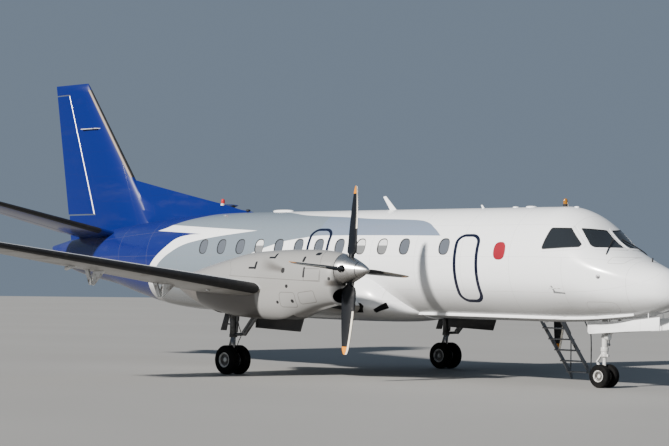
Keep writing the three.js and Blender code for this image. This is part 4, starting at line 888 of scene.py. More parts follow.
def wing_body(name, sign, grow=0.0, inner=1.0):
    rings = [wing_ring(sign, y, grow) for y in evenly(inner, 10.5, 0.45)]
    rounds = [(10.58, 0.88), (10.64, 0.72), (10.685, 0.52), (WING_TIP_Y, 0.25)]
    return loft(name, rings + [wing_ring(sign, y, grow, shrink) for y, shrink in rounds])


def slab(point, sign, span, front, back, half=0.9):
    """Block across a wing or tailplane between two chord fractions, to cut with."""
    corners = ((front, half), (back, half), (back, -half), (front, -half))
    return loft("slab", [[point(sign, y, *corner) for corner in corners] for y in span])


def surface_body(name, sign, surface):
    def ring(y):
        section = hinged_section(wing_thickness(y), WING_CAMBER, surface["hinge"])
        return [wing_point(sign, y, along, high * wing_chord(y)) for along, high in section]

    return loft(name, [ring(y) for y in evenly(*surface["span"], 0.35)])


def cut_front(surface):
    inner, hinge = surface["span"][0], surface["hinge"]
    return hinge - half_thickness(wing_thickness(inner), hinge) - MOVING_GAP / wing_chord(inner)


def bracket(name, outline, sign, y, offsets):
    side_view = [wing_point(sign, y, along, height) for along, height in outline]
    ends = sorted(sign * (y + offset) for offset in offsets)
    plate = prism(name, [(point.x, point.z) for point in side_view], *ends, "y")
    soften(0.003, 1)
    return plate


WING_TOP = (0.72, 0.735, 0.75, 1)
WING_UNDER_SHADE = (0.20, 0.187, 0.168, 1)
wing_paint, w = new_material("wing paint", Coat_Weight=0.15, Coat_Roughness=0.2)
facing_down = facing_up(w).ramp(-0.02, -0.12)
span_place = abs(w.y)
sweep = span_place * 0.17 + w.x
tank_door = outlined(span_place.math("PINGPONG", 0.42), sweep, (0.21, 2.1), (0.14, 0.09), 0.088, 0.008)[LINE]
lines = lined(span_place, 0.84, 0.30, 0.007) | lined(sweep, 0.52, 0.13, 0.006) | tank_door & facing_down
heads = riveted(sweep, span_place, 0.03, 0.28, 0.004)
dirt = w.grimed(2.2, 0.6, (0.35, 1.6, 1.0))[DIRT] * (facing_down * 0.35 + 0.12)
# Painted shade: faces turned downwards take a dark tan-grey in place of the light top colour.
tone = w.blend(facing_down, WING_TOP, WING_UNDER_SHADE)
tone = w.blend(w.grimed(1.1, 0.5)[CLOUD] * 0.25, tone, (0.42, 0.41, 0.39, 1))
tone = w.blend(dirt, tone, (0.13, 0.11, 0.09, 1))
w.surface(w.blend(lines * 0.5, tone, GREASE), dirt * 0.3 + 0.36, heads * 0.35 - lines, 0.35, 0.002)

boot_rubber, w = new_material("boot rubber", Roughness=0.55, Specular_IOR_Level=0.3)
weather = w.grimed(4.0, 0.5)
tubes = lined(w.z, 0.028, 0.0, 0.010)
tone = w.blend(weather[DIRT], (0.006, 0.006, 0.007, 1), (0.022, 0.020, 0.018, 1))
tone = w.blend(weather[CLOUD] * 0.3, tone, (0.035, 0.034, 0.033, 1))
w.surface(tone, None, weather[GRAIN] * 0.2 - tubes, 0.3, 0.002)

bracket_paint = worn("bracket paint", 8.0, 0.6, (0.55, 0.56, 0.56, 1), (0.16, 0.14, 0.12, 1), Roughness=0.45)

for side, sign in SIDES:
    wing = wing_body(f"wing_skin_{side}", sign)
    for surface, end_room in ((FLAPS["flap_inner"], 0.07), (FLAPS["flap_outer"], 0.07), (AILERON, 0.03)):
        inner, outer = surface["span"]
        carve(wing, [slab(wing_point, sign, (inner - 0.015, outer + end_room), cut_front(surface), 1.1)])
    for part, start_y, given in (("outer", 3.5, [f"wing_boot_{side}"]), ("inner", 1.2, [])):
        boot = carve(wing_body(f"wing_boot_{part}_{side}", sign, BOOT_PROUD, start_y),
                     [slab(wing_point, sign, WING_BOOT[part], -0.03, WING_BOOT["width"])], "INTERSECT")
        carve(wing, [slab(wing_point, sign, WING_BOOT[part], -0.02, WING_BOOT["width"])])
        fit(boot, boot_rubber, replaces=given)
    carve(wing, [skin_plate("inlet room", FAIRING, rounded(RAM_INLETS[1], 0.022), 0.0, -0.11, sign)])
    fit(wing, wing_paint, replaces=[f"wing_{side}"])
    for name, flap in FLAPS.items():
        carrier = f"{name}_panel_{side}"
        panel = surface_body(f"{name}_skin_{side}", sign, flap)
        fit(panel, wing_paint, carrier, replaces=[f"{name}_{side}"])
        for k, y in enumerate(flap["brackets"]):
            fixed = bracket(f"{name}_hanger_{k}_{side}", FIXED_BRACKET, sign, y, (-0.044, -0.007))
            pin = wing_point(sign, y, FLAP_PIN["along"], -FLAP_PIN["drop"])
            pin_ends = [pin + Vector((0, sign * offset, 0)) for offset in (-0.056, -0.004)]
            bolt = rod("bolt", *pin_ends, 0.026, bevel=0.004)
            fit(joined(f"{name}_hanger_{k}_{side}", [fixed, bolt]), bracket_paint)
            moving = bracket(f"{name}_horn_{k}_{side}", MOVING_BRACKET, sign, y, (0.007, 0.044))
            fit(moving, bracket_paint, carrier)
    aileron = surface_body(f"aileron_skin_{side}", sign, AILERON)
    fit(aileron, wing_paint, f"aileron_panel_{side}", replaces=[f"aileron_{side}"])
    pod = rod(f"hinge_pod_{side}", wing_point(sign, 7.7, 0.4, -0.02), wing_point(sign, 7.7, 0.71, -0.105),
              0.020, 0.042, bevel=0.012)
    fit(pod, bracket_paint)
    pad_ends = [(1.65, sign * 4.7, z) for z in (1.85, 1.745)]
    pad = rod(f"wing_jack_pad_{side}", *pad_ends, 0.045, bevel=0.006)
    fit(pad, bracket_paint)

# Engine nacelles: aluminium skins over the engine and the main gear's well, with a chin air intake.
# The upper cowl is a thin separate shell, latched along its lower edge; soot trails from its vents.
NACELLE = [
    (-0.900, 1.990, 1.830, 0.060, 1.910, 2.00),
    (-0.500, 2.090, 1.640, 0.220, 1.890, 2.00),
    (0.000, 2.205, 1.440, 0.370, 1.880, 2.20),
    (0.580, 2.336, 1.290, 0.480, 1.870, 2.40),
    (1.150, 2.452, 1.205, 0.545, 1.880, 2.60),
    (1.600, 2.540, 1.170, 0.565, 1.890, 2.70),
    (2.080, 2.585, 1.152, 0.572, 1.895, 2.70),
    (2.760, 2.615, 1.152, 0.565, 1.900, 2.60),
    (3.200, 2.619, 1.285, 0.535, 1.940, 2.40),
    (3.600, 2.612, 1.420, 0.480, 1.985, 2.30),
    (3.900, 2.588, 1.490, 0.430, 2.010, 2.25),
    (4.060, 2.565, 1.522, 0.390, 2.030, 2.20),
    (4.130, 2.552, 1.540, 0.365, 2.060, 2.15),
    (4.200, 2.538, 1.890, 0.325, 2.210, 2.00),
]
NACELLE_SIDES = 80
NACELLE_PLACES = (evenly(-0.9, 3.9, 0.12)
                  + [3.96, 4.02, 4.06, 4.09, 4.11, 4.13, 4.142, 4.156, 4.17, 4.185, 4.2])
COWL_PLACES = evenly(1.99, 3.9, 0.12) + [3.98, 4.06, 4.12, 4.16]
COWL_SPLIT_Z, COWL_BACK_X, COWL_WALL = 2.070, 1.950, 0.030
PROP_AXIS_Z = 2.218
INTAKE = {"z": 1.705, "half": (0.255, 0.150), "x": (3.45, 4.25)}
ENGINE_BAY = ("engine bay", (2.58, 3.9), 0.3, (1.895, 2.2))
WHEEL_WELL = ("wheel well", (0.64, 3.06), 0.285, (0.9, 1.59))
DUCT = [(3.452, 0.2545, 0.1495), (4.120, 0.2545, 0.1495), (4.130, 0.2500, 0.1450), (4.120, 0.2440, 0.1390),
        (3.900, 0.2300, 0.1280), (3.560, 0.2200, 0.1200), (3.555, 0.0100, 0.0100)]
VENT = (2.985, 2.187, 0.048, 0.054)
EXHAUST = {"from": (2.75, 0.42, 2.13), "to": (2.33, 0.70, 2.13), "radius": 0.125, "bore": 0.105}


def ellipse_ring(x, y, z, half_width, half_height, sides=48):
    return [Vector((x, y + half_width * out, z + half_height * up)) for out, up in circle(sides)]


NACELLE_GREY = (0.25, 0.248, 0.242, 1)
# Dark colour for the soot trail from the vent and for the painted shade on the nacelle
SOOT_AND_SHADE = (0.045, 0.037, 0.031, 1)
nacelle_paint, w = new_material("nacelle paint", Coat_Weight=0.3, Coat_Roughness=0.15)
slope = w.x * 0.0365 + w.z
split = lined(slope, 9.0, 2.1185, 0.016) & past(w.x, 1.40) & past(3.93, w.x)
high = (w.z - 2.2) | 0.0
front_seam = lined(high * 0.25 + w.x, 9.0, 3.925, 0.014)
rear_seam = lined(high * 0.9 + w.x, 9.0, 1.43, 0.012)
intake_panel = outlined(w.x, w.z, (3.10, 1.600), (0.195, 0.148), 0.06)[LINE]
chin_panel = outlined(w.x, w.x * -0.13 + w.z, (3.57, 1.191), (0.19, 0.115), 0.05)[LINE]
cowl_panel = outlined(w.x, w.z, (3.72, 2.11), (0.19, 0.12), 0.03)[LINE]
lines = (front_seam | rear_seam | cowl_panel) & past(slope, 2.1185) | split | intake_panel | chin_panel
black_marks = [
    ((2.172, 2.285), (0.030, 0.082), 0.028), ((2.085, 2.232), (0.115, 0.021), 0.019),
    ((2.650, 2.478), (0.030, 0.055), 0.028), ((2.580, 2.445), (0.095, 0.019), 0.017),
    ((3.526, 2.155), (0.022, 0.105), 0.014), ((3.732, 2.525), (0.062, 0.030), 0.027),
    ((3.455, 2.415), (0.030, 0.058), 0.027), ((3.105, 1.871), (0.036, 0.036), 0.033),
    ((2.839, 1.546), (0.032, 0.032), 0.029), ((3.213, 1.575), (0.036, 0.036), 0.033),
]
marks = outlined(w.x, w.z, (4.125, 2.035), (0.026, 0.034), 0.024)[FILL]
for mark in black_marks:
    marks = marks | outlined(w.x, w.z, *mark)[FILL]
weather = w.grimed(1.6, 0.5)
streaks = w.grimed(2.6, 0.6, (0.3, 1.2, 1.6))[DIRT]
back = VENT[0] - w.x
off_plume = abs(w.z - (back * 0.20 + 2.195)).math("DIVIDE", back * 0.16 + 0.075)
plume = off_plume.ramp(1.1, 0.1) & back.ramp(-0.03, 0.02) & back.ramp(0.78, 0.28)
plume = plume & (weather[GRAIN] * 0.5 + 0.5)
# Painted shade: the nacelle's front just behind the spinner and above the intake, where the spinner overhangs
# it.
chin_shade = w.x.ramp(3.98, 4.14) & w.z.ramp(2.04, 1.97) & w.z.ramp(1.86, 1.92)
up = facing_up(w)
# Painted shade: a dark band along the rounded lower corner, between the side and the bottom, from x≈2.4
# forwards.
low_corner_shade = up.ramp(-0.76, -0.90) & up.ramp(-0.97, -0.94) & w.x.ramp(2.4, 3.0)
# Painted shadow: the wing's shadow on the nacelle, aft of x≈2.2 and below z≈1.8.
wing_shadow_on_nacelle = w.x.ramp(2.24, 2.16) & w.z.ramp(1.86, 1.78)
across = abs(abs(w.y) - ENGINE_Y)
inside_well = past(0.2865, across) & past(w.x, 0.635) & past(3.065, w.x) & past(1.595, w.z)
tone = w.blend(weather[CLOUD] * 0.25, NACELLE_GREY, (0.17, 0.165, 0.158, 1))
tone = w.blend(streaks * 0.16, tone, GREASE)
# Painted light, in part: the bottom of the chin from x≈3 forwards is near-white, a light panel made lighter
# still to stand in for light thrown up from the ground.
tone = w.blend(up.ramp(-0.93, -0.97) & w.x.ramp(2.85, 3.05), tone, (0.80, 0.79, 0.77, 1))
# Painted shade along the lower corner and the wing's painted shadow.
tone = w.blend((low_corner_shade | wing_shadow_on_nacelle) * 0.78, tone, SOOT_AND_SHADE)
# Soot trail from the vent, and the painted shade under the spinner.
tone = w.blend((plume | chin_shade) * 0.82, tone, SOOT_AND_SHADE)
tone = w.blend(lines * 0.8, tone, (0.09, 0.085, 0.08, 1))
tone = w.blend(marks, tone, (0.008, 0.008, 0.009, 1))
# Painted shade: the faces inside the wheel well are near-black.
tone = w.blend(inside_well, tone, (0.045, 0.043, 0.040, 1))
heads = riveted(w.z, w.x, 0.045, 0.31, 0.0045)
w.surface(tone, streaks * 0.15 + 0.30, heads * 0.3 + weather[CLOUD] * 1.5 - lines, 0.4, 0.002)

exhaust_steel, w = new_material("exhaust steel", Metallic=0.85)
weather = w.grimed(9.0, 0.6)
tone = w.blend(w.x.ramp(2.62, 2.34), (0.30, 0.25, 0.21, 1), (0.13, 0.10, 0.085, 1))
tone = w.blend(weather[DIRT], tone, (0.05, 0.04, 0.035, 1))
w.surface(tone, weather[GRAIN] * 0.3 + 0.35, weather[GRAIN], 0.25)
engine_steel = worn("engine steel", 5.0, 0.6, (0.20, 0.20, 0.21, 1), (0.05, 0.045, 0.04, 1), 0.3,
                    Metallic=0.6, Roughness=0.5)

for side, sign in SIDES:
    y = sign * ENGINE_Y
    shell = hull_loft(f"nacelle_shell_{side}", NACELLE, NACELLE_PLACES, NACELLE_SIDES, 0, y)
    lid, lid_room = [block("lid", (COWL_BACK_X - room, y - 0.7, COWL_SPLIT_Z - room), (4.3, y + 0.7, 2.7))
                     for room in (0, CLEARANCE)]
    shaft_hole = rod("shaft hole", (3.85, y, PROP_AXIS_Z), (4.3, y, PROP_AXIS_Z), 0.13, sides=48)
    cowl = clone(shell, f"engine_cowl_shell_{side}")
    carve(cowl, [lid], "INTERSECT")
    carve(cowl, [hull_loft("inside", NACELLE, COWL_PLACES, NACELLE_SIDES, -COWL_WALL, y), shaft_hole],
          keep=[shaft_hole])
    rooms = [block(name, (back, y - half, low), (front, y + half, high))
             for name, (back, front), half, (low, high) in (ENGINE_BAY, WHEEL_WELL)]
    mouth = loft("mouth", [ellipse_ring(x, y, INTAKE["z"], *INTAKE["half"]) for x in INTAKE["x"]])
    carve(shell, [lid_room, *rooms, mouth, shaft_hole, wing_body("wing room", sign, 0.0005)])
    carve(cowl, [skin_plate("vent pocket", NACELLE, oval(*VENT), 0.02, -0.02, -1, y)])
    vent_rim = oval(VENT[0], VENT[1], VENT[2] - 0.001, VENT[3] - 0.001)
    fit(skin_plate(f"cowl_vent_{side}", NACELLE, vent_rim, -0.004, -0.019, -1, y), black_duct)
    duct = loft(f"intake_duct_{side}", [ellipse_ring(x, y, INTAKE["z"], *half) for x, *half in DUCT])
    fit(duct, black_duct)
    fit(shell, nacelle_paint, replaces=[f"nacelle_{side}"])
    fit(cowl, nacelle_paint, replaces=[f"engine_cowl_{side}"])
    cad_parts[f"engine_{side}"].data.materials[0] = engine_steel

    start, end = [Vector((x, y + offset, z)) for x, offset, z in (EXHAUST["from"], EXHAUST["to"])]
    pipe = rod(f"exhaust_pipe_{side}", start, end, EXHAUST["radius"], sides=48, bevel=0.006)
    bore = rod("bore", start.lerp(end, 0.25), start.lerp(end, 1.1), EXHAUST["bore"], sides=48)
    carve(pipe, [bore, hull_loft("skin room", NACELLE, NACELLE_PLACES, NACELLE_SIDES, CLEARANCE, y)])
    fit(pipe, exhaust_steel, replaces=[f"exhaust_{side}"])

# Propellers: four feathered composite blades with a metal leading edge and painted tips, on a steel
# hub under a spun and polished aluminium spinner in two parts, with a dark joint between them.
PROP_PLANE_X = 4.370
BLADE = [
    (0.130, 0.110, 0.108, 0), (0.240, 0.118, 0.104, 0), (0.300, 0.125, 0.100, 0), (0.350, 0.275, 0.082, -6),
    (0.480, 0.325, 0.085, -13), (0.880, 0.290, 0.056, -14), (1.180, 0.245, 0.040, -14),
    (1.480, 0.178, 0.026, -16), (1.600, 0.140, 0.020, -17), (1.675, 0.075, 0.014, -18),
]
SPINNER = [
    (-0.155, 0.300), (-0.155, 0.318), (-0.120, 0.310), (-0.070, 0.296), (0.000, 0.270), (0.080, 0.240),
    (0.180, 0.198), (0.252, 0.166), (0.256, 0.160), (0.264, 0.157), (0.268, 0.159), (0.320, 0.134),
    (0.370, 0.108), (0.420, 0.080), (0.460, 0.055), (0.485, 0.038), (0.503, 0.018), (0.513, 0.002),
]
HUB = [(-0.42, 0.058), (-0.418, 0.060), (-0.096, 0.060), (-0.095, 0.145), (-0.09, 0.150), (0.09, 0.150),
       (0.095, 0.145)]
HUB_ROOM = [(-0.2, 0.072), (-0.107, 0.072), (-0.1069, 0.162), (0.107, 0.162)]
BLADE_TURN = math.radians(4)
METAL_EDGE = {"from": 0.82, "start": 0.008, "width": 0.044}
TIP_LENGTH = 0.155


def axle_ring(x, y, z, radius, sides=64):
    return ellipse_ring(x, y, z, radius, radius, sides)


def prop_turned(name, profile, y, sides=64):
    """Turned part about the propeller's axis, from (place along it, radius) points."""
    rings = [axle_ring(PROP_PLANE_X + x, y, PROP_AXIS_Z, radius, sides) for x, radius in profile]
    return loft(name, rings)


def blade_ring(radius):
    """Blade section: a round shank that turns into an aerofoil with its blunt edge forward."""
    _, chord, thickness, twist = lines_at(BLADE, radius)
    lean = math.radians(twist)
    flat = min(max((radius - 0.29) / 0.15, 0), 1)
    ring = []
    for along, across in circle(32):
        slim = 1 - 0.55 * flat * (1 - along) / 2
        step = chord / 2 * along
        aside = thickness / 2 * across * slim
        ring.append(Vector((step * math.cos(lean) - aside * math.sin(lean),
                            step * math.sin(lean) + aside * math.cos(lean), radius)))
    return ring


blade_black, w = new_material("blade composite", Specular_IOR_Level=0.25)
weather = w.grimed(6.0, 0.5)
reach = distance(abs(w.y) - ENGINE_Y, w.z - PROP_AXIS_Z)
from_edge = edge_line(reach, [(row[0], row[1] / 2) for row in BLADE[3:]]) - (w.x - PROP_PLANE_X)
metal = past(METAL_EDGE["width"], from_edge, 0.003) & past(from_edge, METAL_EDGE["start"], 0.002)
metal = metal & past(reach, METAL_EDGE["from"], 0.01)
tip = past(reach, BLADE[-1][0] - TIP_LENGTH, 0.004) & past(from_edge, 0.010, 0.002)
chips = weather[DIRT] & past(0.08, from_edge, 0.03)
tone = w.blend(weather[CLOUD] * 0.5, (0.003, 0.004, 0.006, 1), (0.009, 0.010, 0.013, 1))
tone = w.blend(chips * 0.15, tone, (0.16, 0.15, 0.14, 1))
tone = w.blend(tip, tone, w.blend(weather[CLOUD], (0.70, 0.24, 0.0, 1), (0.55, 0.19, 0.0, 1)))
tone = w.blend(metal, tone, (0.62, 0.58, 0.50, 1))
w.join(metal * 0.85, w.shader["Metallic"])
w.surface(tone, weather[DIRT] * 0.15 + 0.38, weather[GRAIN] + metal * 0.5, 0.15)

polished, w = new_material("polished spinner", Metallic=1.0)
weather = w.grimed(5.0, 0.5)
brushed = w.add("Mapping", w.point, (0, 0, 0), (0, 0, 0), (60.0, 2.0, 2.0))[0]
fine = w.add("TexNoise", brushed, None, 6.0, 3.0)[0]
tone = w.blend(weather[DIRT] * 0.35, (0.62, 0.61, 0.60, 1), (0.34, 0.31, 0.27, 1))
# Painted reflection: the downward-facing half of the spinner is darkened, as if it mirrored dark ground.
tone = w.blend(facing_up(w).ramp(-0.15, -0.75) * 0.75, tone, (0.10, 0.09, 0.08, 1))
tone = w.blend(lined(w.x, 9.0, PROP_PLANE_X + 0.260, 0.020) * 0.9, tone, (0.02, 0.02, 0.02, 1))
w.surface(tone, weather[DIRT] * 0.14 + (fine * 0.10 + 0.22), fine + weather[CLOUD] * 4.0, 0.12)

first_blade = loft("propeller_blade", [blade_ring(radius) for radius in
                                       evenly(0.13, 0.30, 0.03) + [0.315, 0.33, 0.35, 0.38, 0.42, 0.47]
                                       + evenly(0.53, 1.60, 0.08) + [1.63, 1.652, 1.668, 1.675]])
for side, sign in SIDES:
    y = sign * ENGINE_Y
    middle = Vector((PROP_PLANE_X, y, PROP_AXIS_Z))
    carrier = f"propeller_assembly_{side}"
    spinner = prop_turned(f"spinner_shell_{side}", SPINNER, y)
    holes = [prop_turned("hub room", HUB_ROOM, y)]
    for k in range(4):
        turn = Matrix.Translation(middle) @ Matrix.Rotation(math.pi / 2 * k - BLADE_TURN, 4, "X")
        blade = clone(first_blade, f"propeller_blade_{k}_{side}")
        blade.matrix_world = turn
        settle(blade)
        fit(blade, blade_black, carrier, angle=50)
        hole = rod("blade hole", (0, 0, 0.10), (0, 0, 0.34), 0.078, sides=40)
        hole.matrix_world = turn
        settle(hole)
        holes.append(hole)
    carve(spinner, holes)
    fit(spinner, polished, carrier, replaces=[f"spinner_{side}"], angle=28)
    hub = prop_turned(f"propeller_hub_{side}", HUB, y, 48)
    fit(hub, engine_steel, carrier, replaces=[f"propeller_{side}"])
bpy.data.objects.remove(first_blade)

# Wheels: twin tyres of grooved rubber on forged alloy rims with bolted halves, turning together on
# one steel axle. One wheel of each size is modelled, then copied to every place.
MAIN_AXLE_X, NOSE_AXLE_X = 0.955, 8.095
MAIN_TYRE = {"radius": 0.305, "half": 0.098, "rim": 0.150, "spread": 0.165, "axle": 0.032}
NOSE_TYRE = {"radius": 0.2285, "half": 0.076, "rim": 0.112, "spread": 0.137, "axle": 0.024}
# Across from the tyre's middle in half widths, and the share from rim to tread
TYRE_SECTION = [(0.80, 0.00), (0.94, 0.10), (1.00, 0.32), (1.00, 0.55), (0.95, 0.74), (0.82, 0.89),
                (0.62, 0.965)]
TREAD_GROOVES = (-0.46, -0.155, 0.155, 0.46)
# Across in half widths (positive outwards) and radius in rims
RIM_SECTION = [
    (0.62, 0.001), (0.62, 0.28), (0.58, 0.33), (0.44, 0.36), (0.40, 0.42), (0.36, 0.66), (0.42, 0.74),
    (0.66, 0.80), (0.70, 0.86), (0.86, 0.93), (0.90, 1.02), (0.84, 1.04), (0.74, 0.97), (-0.74, 0.97),
    (-0.84, 1.04), (-0.90, 1.00), (-0.80, 0.93), (-0.30, 0.80), (0.00, 0.60), (0.10, 0.001),
]


def revolve(name, middle, profile, sides=72):
    """Turned body about a line parallel to Y, from (distance across, radius) points."""
    x, y, z = middle
    return loft(name, [[Vector((x + radius * out, y + across, z + radius * up)) for out, up in circle(sides)]
                       for across, radius in profile])


def wheel_parts(size):
    """Tyre and rim about the origin, their outer face towards +Y."""
    half, rise = size["half"], size["radius"] - size["rim"]
    side_wall = [(half * across, size["rim"] + rise * share) for across, share in TYRE_SECTION]
    crown = []
    for place in TREAD_GROOVES[::-1]:
        edge = half * place
        depth = size["radius"] - 0.007
        crown += [(edge + 0.0045, size["radius"]), (edge + 0.0035, depth), (edge - 0.0035, depth),
                  (edge - 0.0045, size["radius"])]
    other = [(-across, radius) for across, radius in side_wall[::-1]]
    tyre = revolve("tyre", (0, 0, 0), side_wall + crown + other + side_wall[:1])
    rim_profile = [(half * across, size["rim"] * radius) for across, radius in RIM_SECTION]
    rim = revolve("rim", (0, 0, 0), rim_profile, 48)
    ring = size["rim"] * 0.54
    holes, bolts = [], []
    for k in range(8):
        turn = 2 * math.pi * k / 8
        x, z = ring * math.cos(turn), ring * math.sin(turn)
        holes.append(rod("hole", (x, -half, z), (x, half, z), size["rim"] * 0.085, sides=16))
        x, z = ring * math.cos(turn + 0.39), ring * math.sin(turn + 0.39)
        bolts.append(rod("bolt", (x, half * 0.3, z), (x, half * 0.46, z), size["rim"] * 0.045, sides=6))
    carve(rim, [joined("holes", holes)])
    return tyre, joined("rim", [rim] + bolts)


tyre_rubber, w = new_material("tyre rubber", Specular_IOR_Level=0.15)
weather = w.grimed(5.0, 0.6)
tone = w.blend(weather[DIRT], (0.0015, 0.0015, 0.0016, 1), (0.005, 0.0045, 0.004, 1))
tone = w.blend(w.z.ramp(0.10, 0.0), tone, (0.010, 0.009, 0.008, 1))
w.surface(tone, weather[GRAIN] * 0.2 + 0.7, weather[GRAIN], 0.25)


def by_gear(main, nose):
    """A size that is one on the main wheels and the other on the nose wheels."""
    return w.add("MapRange", w.x, 4.0, 4.001, main, nose)[0]


rim_alloy, w = new_material("rim alloy", Coat_Weight=0.2)
weather = w.grimed(9.0, 0.7)
out_x = w.x - by_gear(MAIN_AXLE_X, NOSE_AXLE_X)
out_z = w.z - by_gear(MAIN_TYRE["radius"], NOSE_TYRE["radius"])
size_share = distance(out_x, out_z).math("DIVIDE", by_gear(MAIN_TYRE["rim"], NOSE_TYRE["rim"]))
# Painted shade: the rim's dished face between the hub and the flange is darkened.
rim_recess_shade = size_share.ramp(0.86, 0.80) & size_share.ramp(0.30, 0.36)
tone = w.blend(weather[DIRT], (0.60, 0.60, 0.58, 1), (0.20, 0.18, 0.16, 1))
tone = w.blend(rim_recess_shade * 0.85, tone, (0.03, 0.028, 0.026, 1))
w.surface(tone, weather[GRAIN] * 0.25 + 0.28, weather[GRAIN], 0.15)

main_kind = (MAIN_TYRE, wheel_parts(MAIN_TYRE), MAIN_AXLE_X)
nose_kind = (NOSE_TYRE, wheel_parts(NOSE_TYRE), NOSE_AXLE_X)
WHEEL_SETS = [
    ("main_right", main_kind, -ENGINE_Y, "main_wheel_pair_right", "main_wheels_right"),
    ("main_left", main_kind, ENGINE_Y, "main_wheel_pair_left", "main_wheels_left"),
    ("nose", nose_kind, 0.0, "nose_wheel_pair", "nose_wheels"),
]
for name, (size, (tyre, rim), x), y, carrier, node in WHEEL_SETS:
    for k, way in enumerate((-1, 1)):
        hub = Matrix.Translation((x, y + way * size["spread"], size["radius"]))
        facing = hub @ Matrix.Rotation(0 if way == 1 else math.pi, 4, "Z")
        for part, source, material in (("tyre", tyre, tyre_rubber), ("rim", rim, rim_alloy)):
            copy = clone(source, f"{part}_{name}_{k}")
            copy.matrix_world = facing
            settle(copy)
            fit(copy, material, carrier, angle=30)
    reach = size["spread"] + size["half"] * 0.1
    axle_ends = [(x, y + way * reach, size["radius"]) for way in (-1, 1)]
    axle = rod(f"axle_{name}", *axle_ends, size["axle"], sides=32)
    fit(axle, engine_steel, carrier, replaces=[node])
for part in (*main_kind[1], *nose_kind[1]):
    bpy.data.objects.remove(part)

# Main landing gear: a forged oleo strut with a chromed piston, hinged torque links and a folding
# drag brace. A short door hangs on each leg, and a long framed door from the well's inboard edge.
MAIN_LEG_STEEL = [
    ((0, 0, 0.830), (0, 0, 1.540), 0.078), ((0, 0, 1.17), (0, 0, 1.44), 0.100),
    ((0, 0, 0.775), (0, 0, 0.845), 0.086), ((0, 0, 1.10), (0, 0, 1.17), 0.086),
    ((0, 0, 1.44), (0, 0, 1.54), 0.090), ((0.105, 0, 0.880), (0.124, 0, 1.15), 0.024),
    ((0.122, 0, 1.12), (0.150, 0, 1.500), 0.036), ((0, -0.055, 0.305), (0, 0.055, 0.305), 0.058),
    ((0, -0.2847, 1.520), (0, 0.2847, 1.520), 0.045), ((0, 0, 0.830), (0.330, 0, 0.850), 0.032),
    ((0.835, -0.2847, 1.435), (0.835, 0.2847, 1.435), 0.026), ((0, -0.045, 1.120), (0, -0.235, 1.500), 0.024),
    ((0, 0.045, 1.120), (0, 0.235, 1.500), 0.024), ((-0.020, 0.012, 1.050), (-0.150, 0.042, 1.050), 0.016),
    ((-0.105, -0.040, 0.562), (-0.105, 0.040, 0.562), 0.018), ((0, -0.045, 0.80), (0, 0.045, 0.80), 0.030),
]
BRAKE_PIPE = [(0.045, -0.060, 1.30), (0.075, -0.078, 1.00), (0.150, -0.078, 0.90), (0.165, -0.075, 0.80),
              (0.110, -0.066, 0.72), (0.062, -0.058, 0.60), (0.055, -0.045, 0.345)]
UPPER_LINK = [(-0.045, 0.800), (-0.122, 0.570), (-0.092, 0.556), (-0.038, 0.730)]
LOWER_LINK = [(-0.030, 0.340), (-0.122, 0.566), (-0.095, 0.590), (-0.030, 0.420)]
DRAG_BRACE = [(0.281, 0.896), (0.369, 0.814), (0.904, 1.394), (0.816, 1.476)]
BRACE_GROOVE = [(0.36, 0.905), (0.385, 0.88), (0.80, 1.33), (0.775, 1.355)]
BRAKE_REACH = (0.059, 0.105)
LEG_DOOR = [(-0.068, 1.290), (-0.215, 1.290), (-0.355, 0.915), (-0.175, 0.915)]
WELL_DOOR = [(1.310, 1.250), (2.770, 1.250), (2.655, 0.940), (1.310, 0.985)]


def bars(name, table, place):
    """Round bars of a table as one piece, each with softened ends."""
    return joined(name, [rod("bar", place(start), place(end), radius, sides=28, bevel=min(0.006, radius / 4))
                         for start, end, radius in table])


def plate(name, x, outline, low, high, bevel=0.004):
    piece = prism(name, [(x + along, z) for along, z in outline], low, high, "y")
    soften(bevel)
    return piece


def pipe(name, points, radius):
    """Bent pipe through points, softened by two rounds of corner cutting."""
    path = [Vector(point) for point in points]
    for _ in range(2):
        cut = [[a.lerp(b, 0.25), a.lerp(b, 0.75)] for a, b in zip(path, path[1:])]
        path = [path[0]] + [point for pair in cut for point in pair] + [path[-1]]
    rings = []
    for k, point in enumerate(path):
        ahead = (path[min(k + 1, len(path) - 1)] - path[max(k - 1, 0)]).normalized()
        aside = ahead.cross(Vector((0.13, 0.97, 0.2))).normalized()
        other = ahead.cross(aside)
        rings.append([point + (aside * out + other * up) * radius for out, up in circle(12)])
    return loft(name, rings)


gear_steel, w = new_material("gear steel", Coat_Weight=0.2)
weather = w.grimed(6.0, 0.65)
tone = w.blend(weather[DIRT], (0.042, 0.043, 0.045, 1), (0.014, 0.012, 0.010, 1))
w.surface(tone, weather[DIRT] * 0.3 + 0.35, weather[GRAIN], 0.25)
brace_paint = worn("brace paint", 7.0, 0.6, (0.13, 0.13, 0.13, 1), (0.05, 0.045, 0.04, 1), Roughness=0.4)
chrome, w = new_material("chromed piston", Metallic=1.0)
dirt = w.grimed(12.0, 0.5)[DIRT]
w.surface(w.blend(dirt, (0.16, 0.16, 0.165, 1), (0.06, 0.05, 0.045, 1)), dirt * 0.3 + 0.12)

# Painted shade: the main gear doors are near-black all over, the shade they hang in under the nacelle, with
# darker stiffener lines and lighter dirt patches.
shaded_door, w = new_material("dark door", Coat_Weight=0.1)
weather = w.grimed(3.0, 0.6)
ribs = lined(w.x, 0.36, 1.42, 0.022)
tone = w.blend(ribs * 0.6, (0.014, 0.0145, 0.015, 1), (0.005, 0.005, 0.005, 1))
tone = w.blend(weather[DIRT] * 0.5, tone, (0.034, 0.030, 0.026, 1))
w.surface(tone, weather[GRAIN] * 0.2 + 0.45, ribs + weather[GRAIN] * 0.2, 0.4, 0.002)

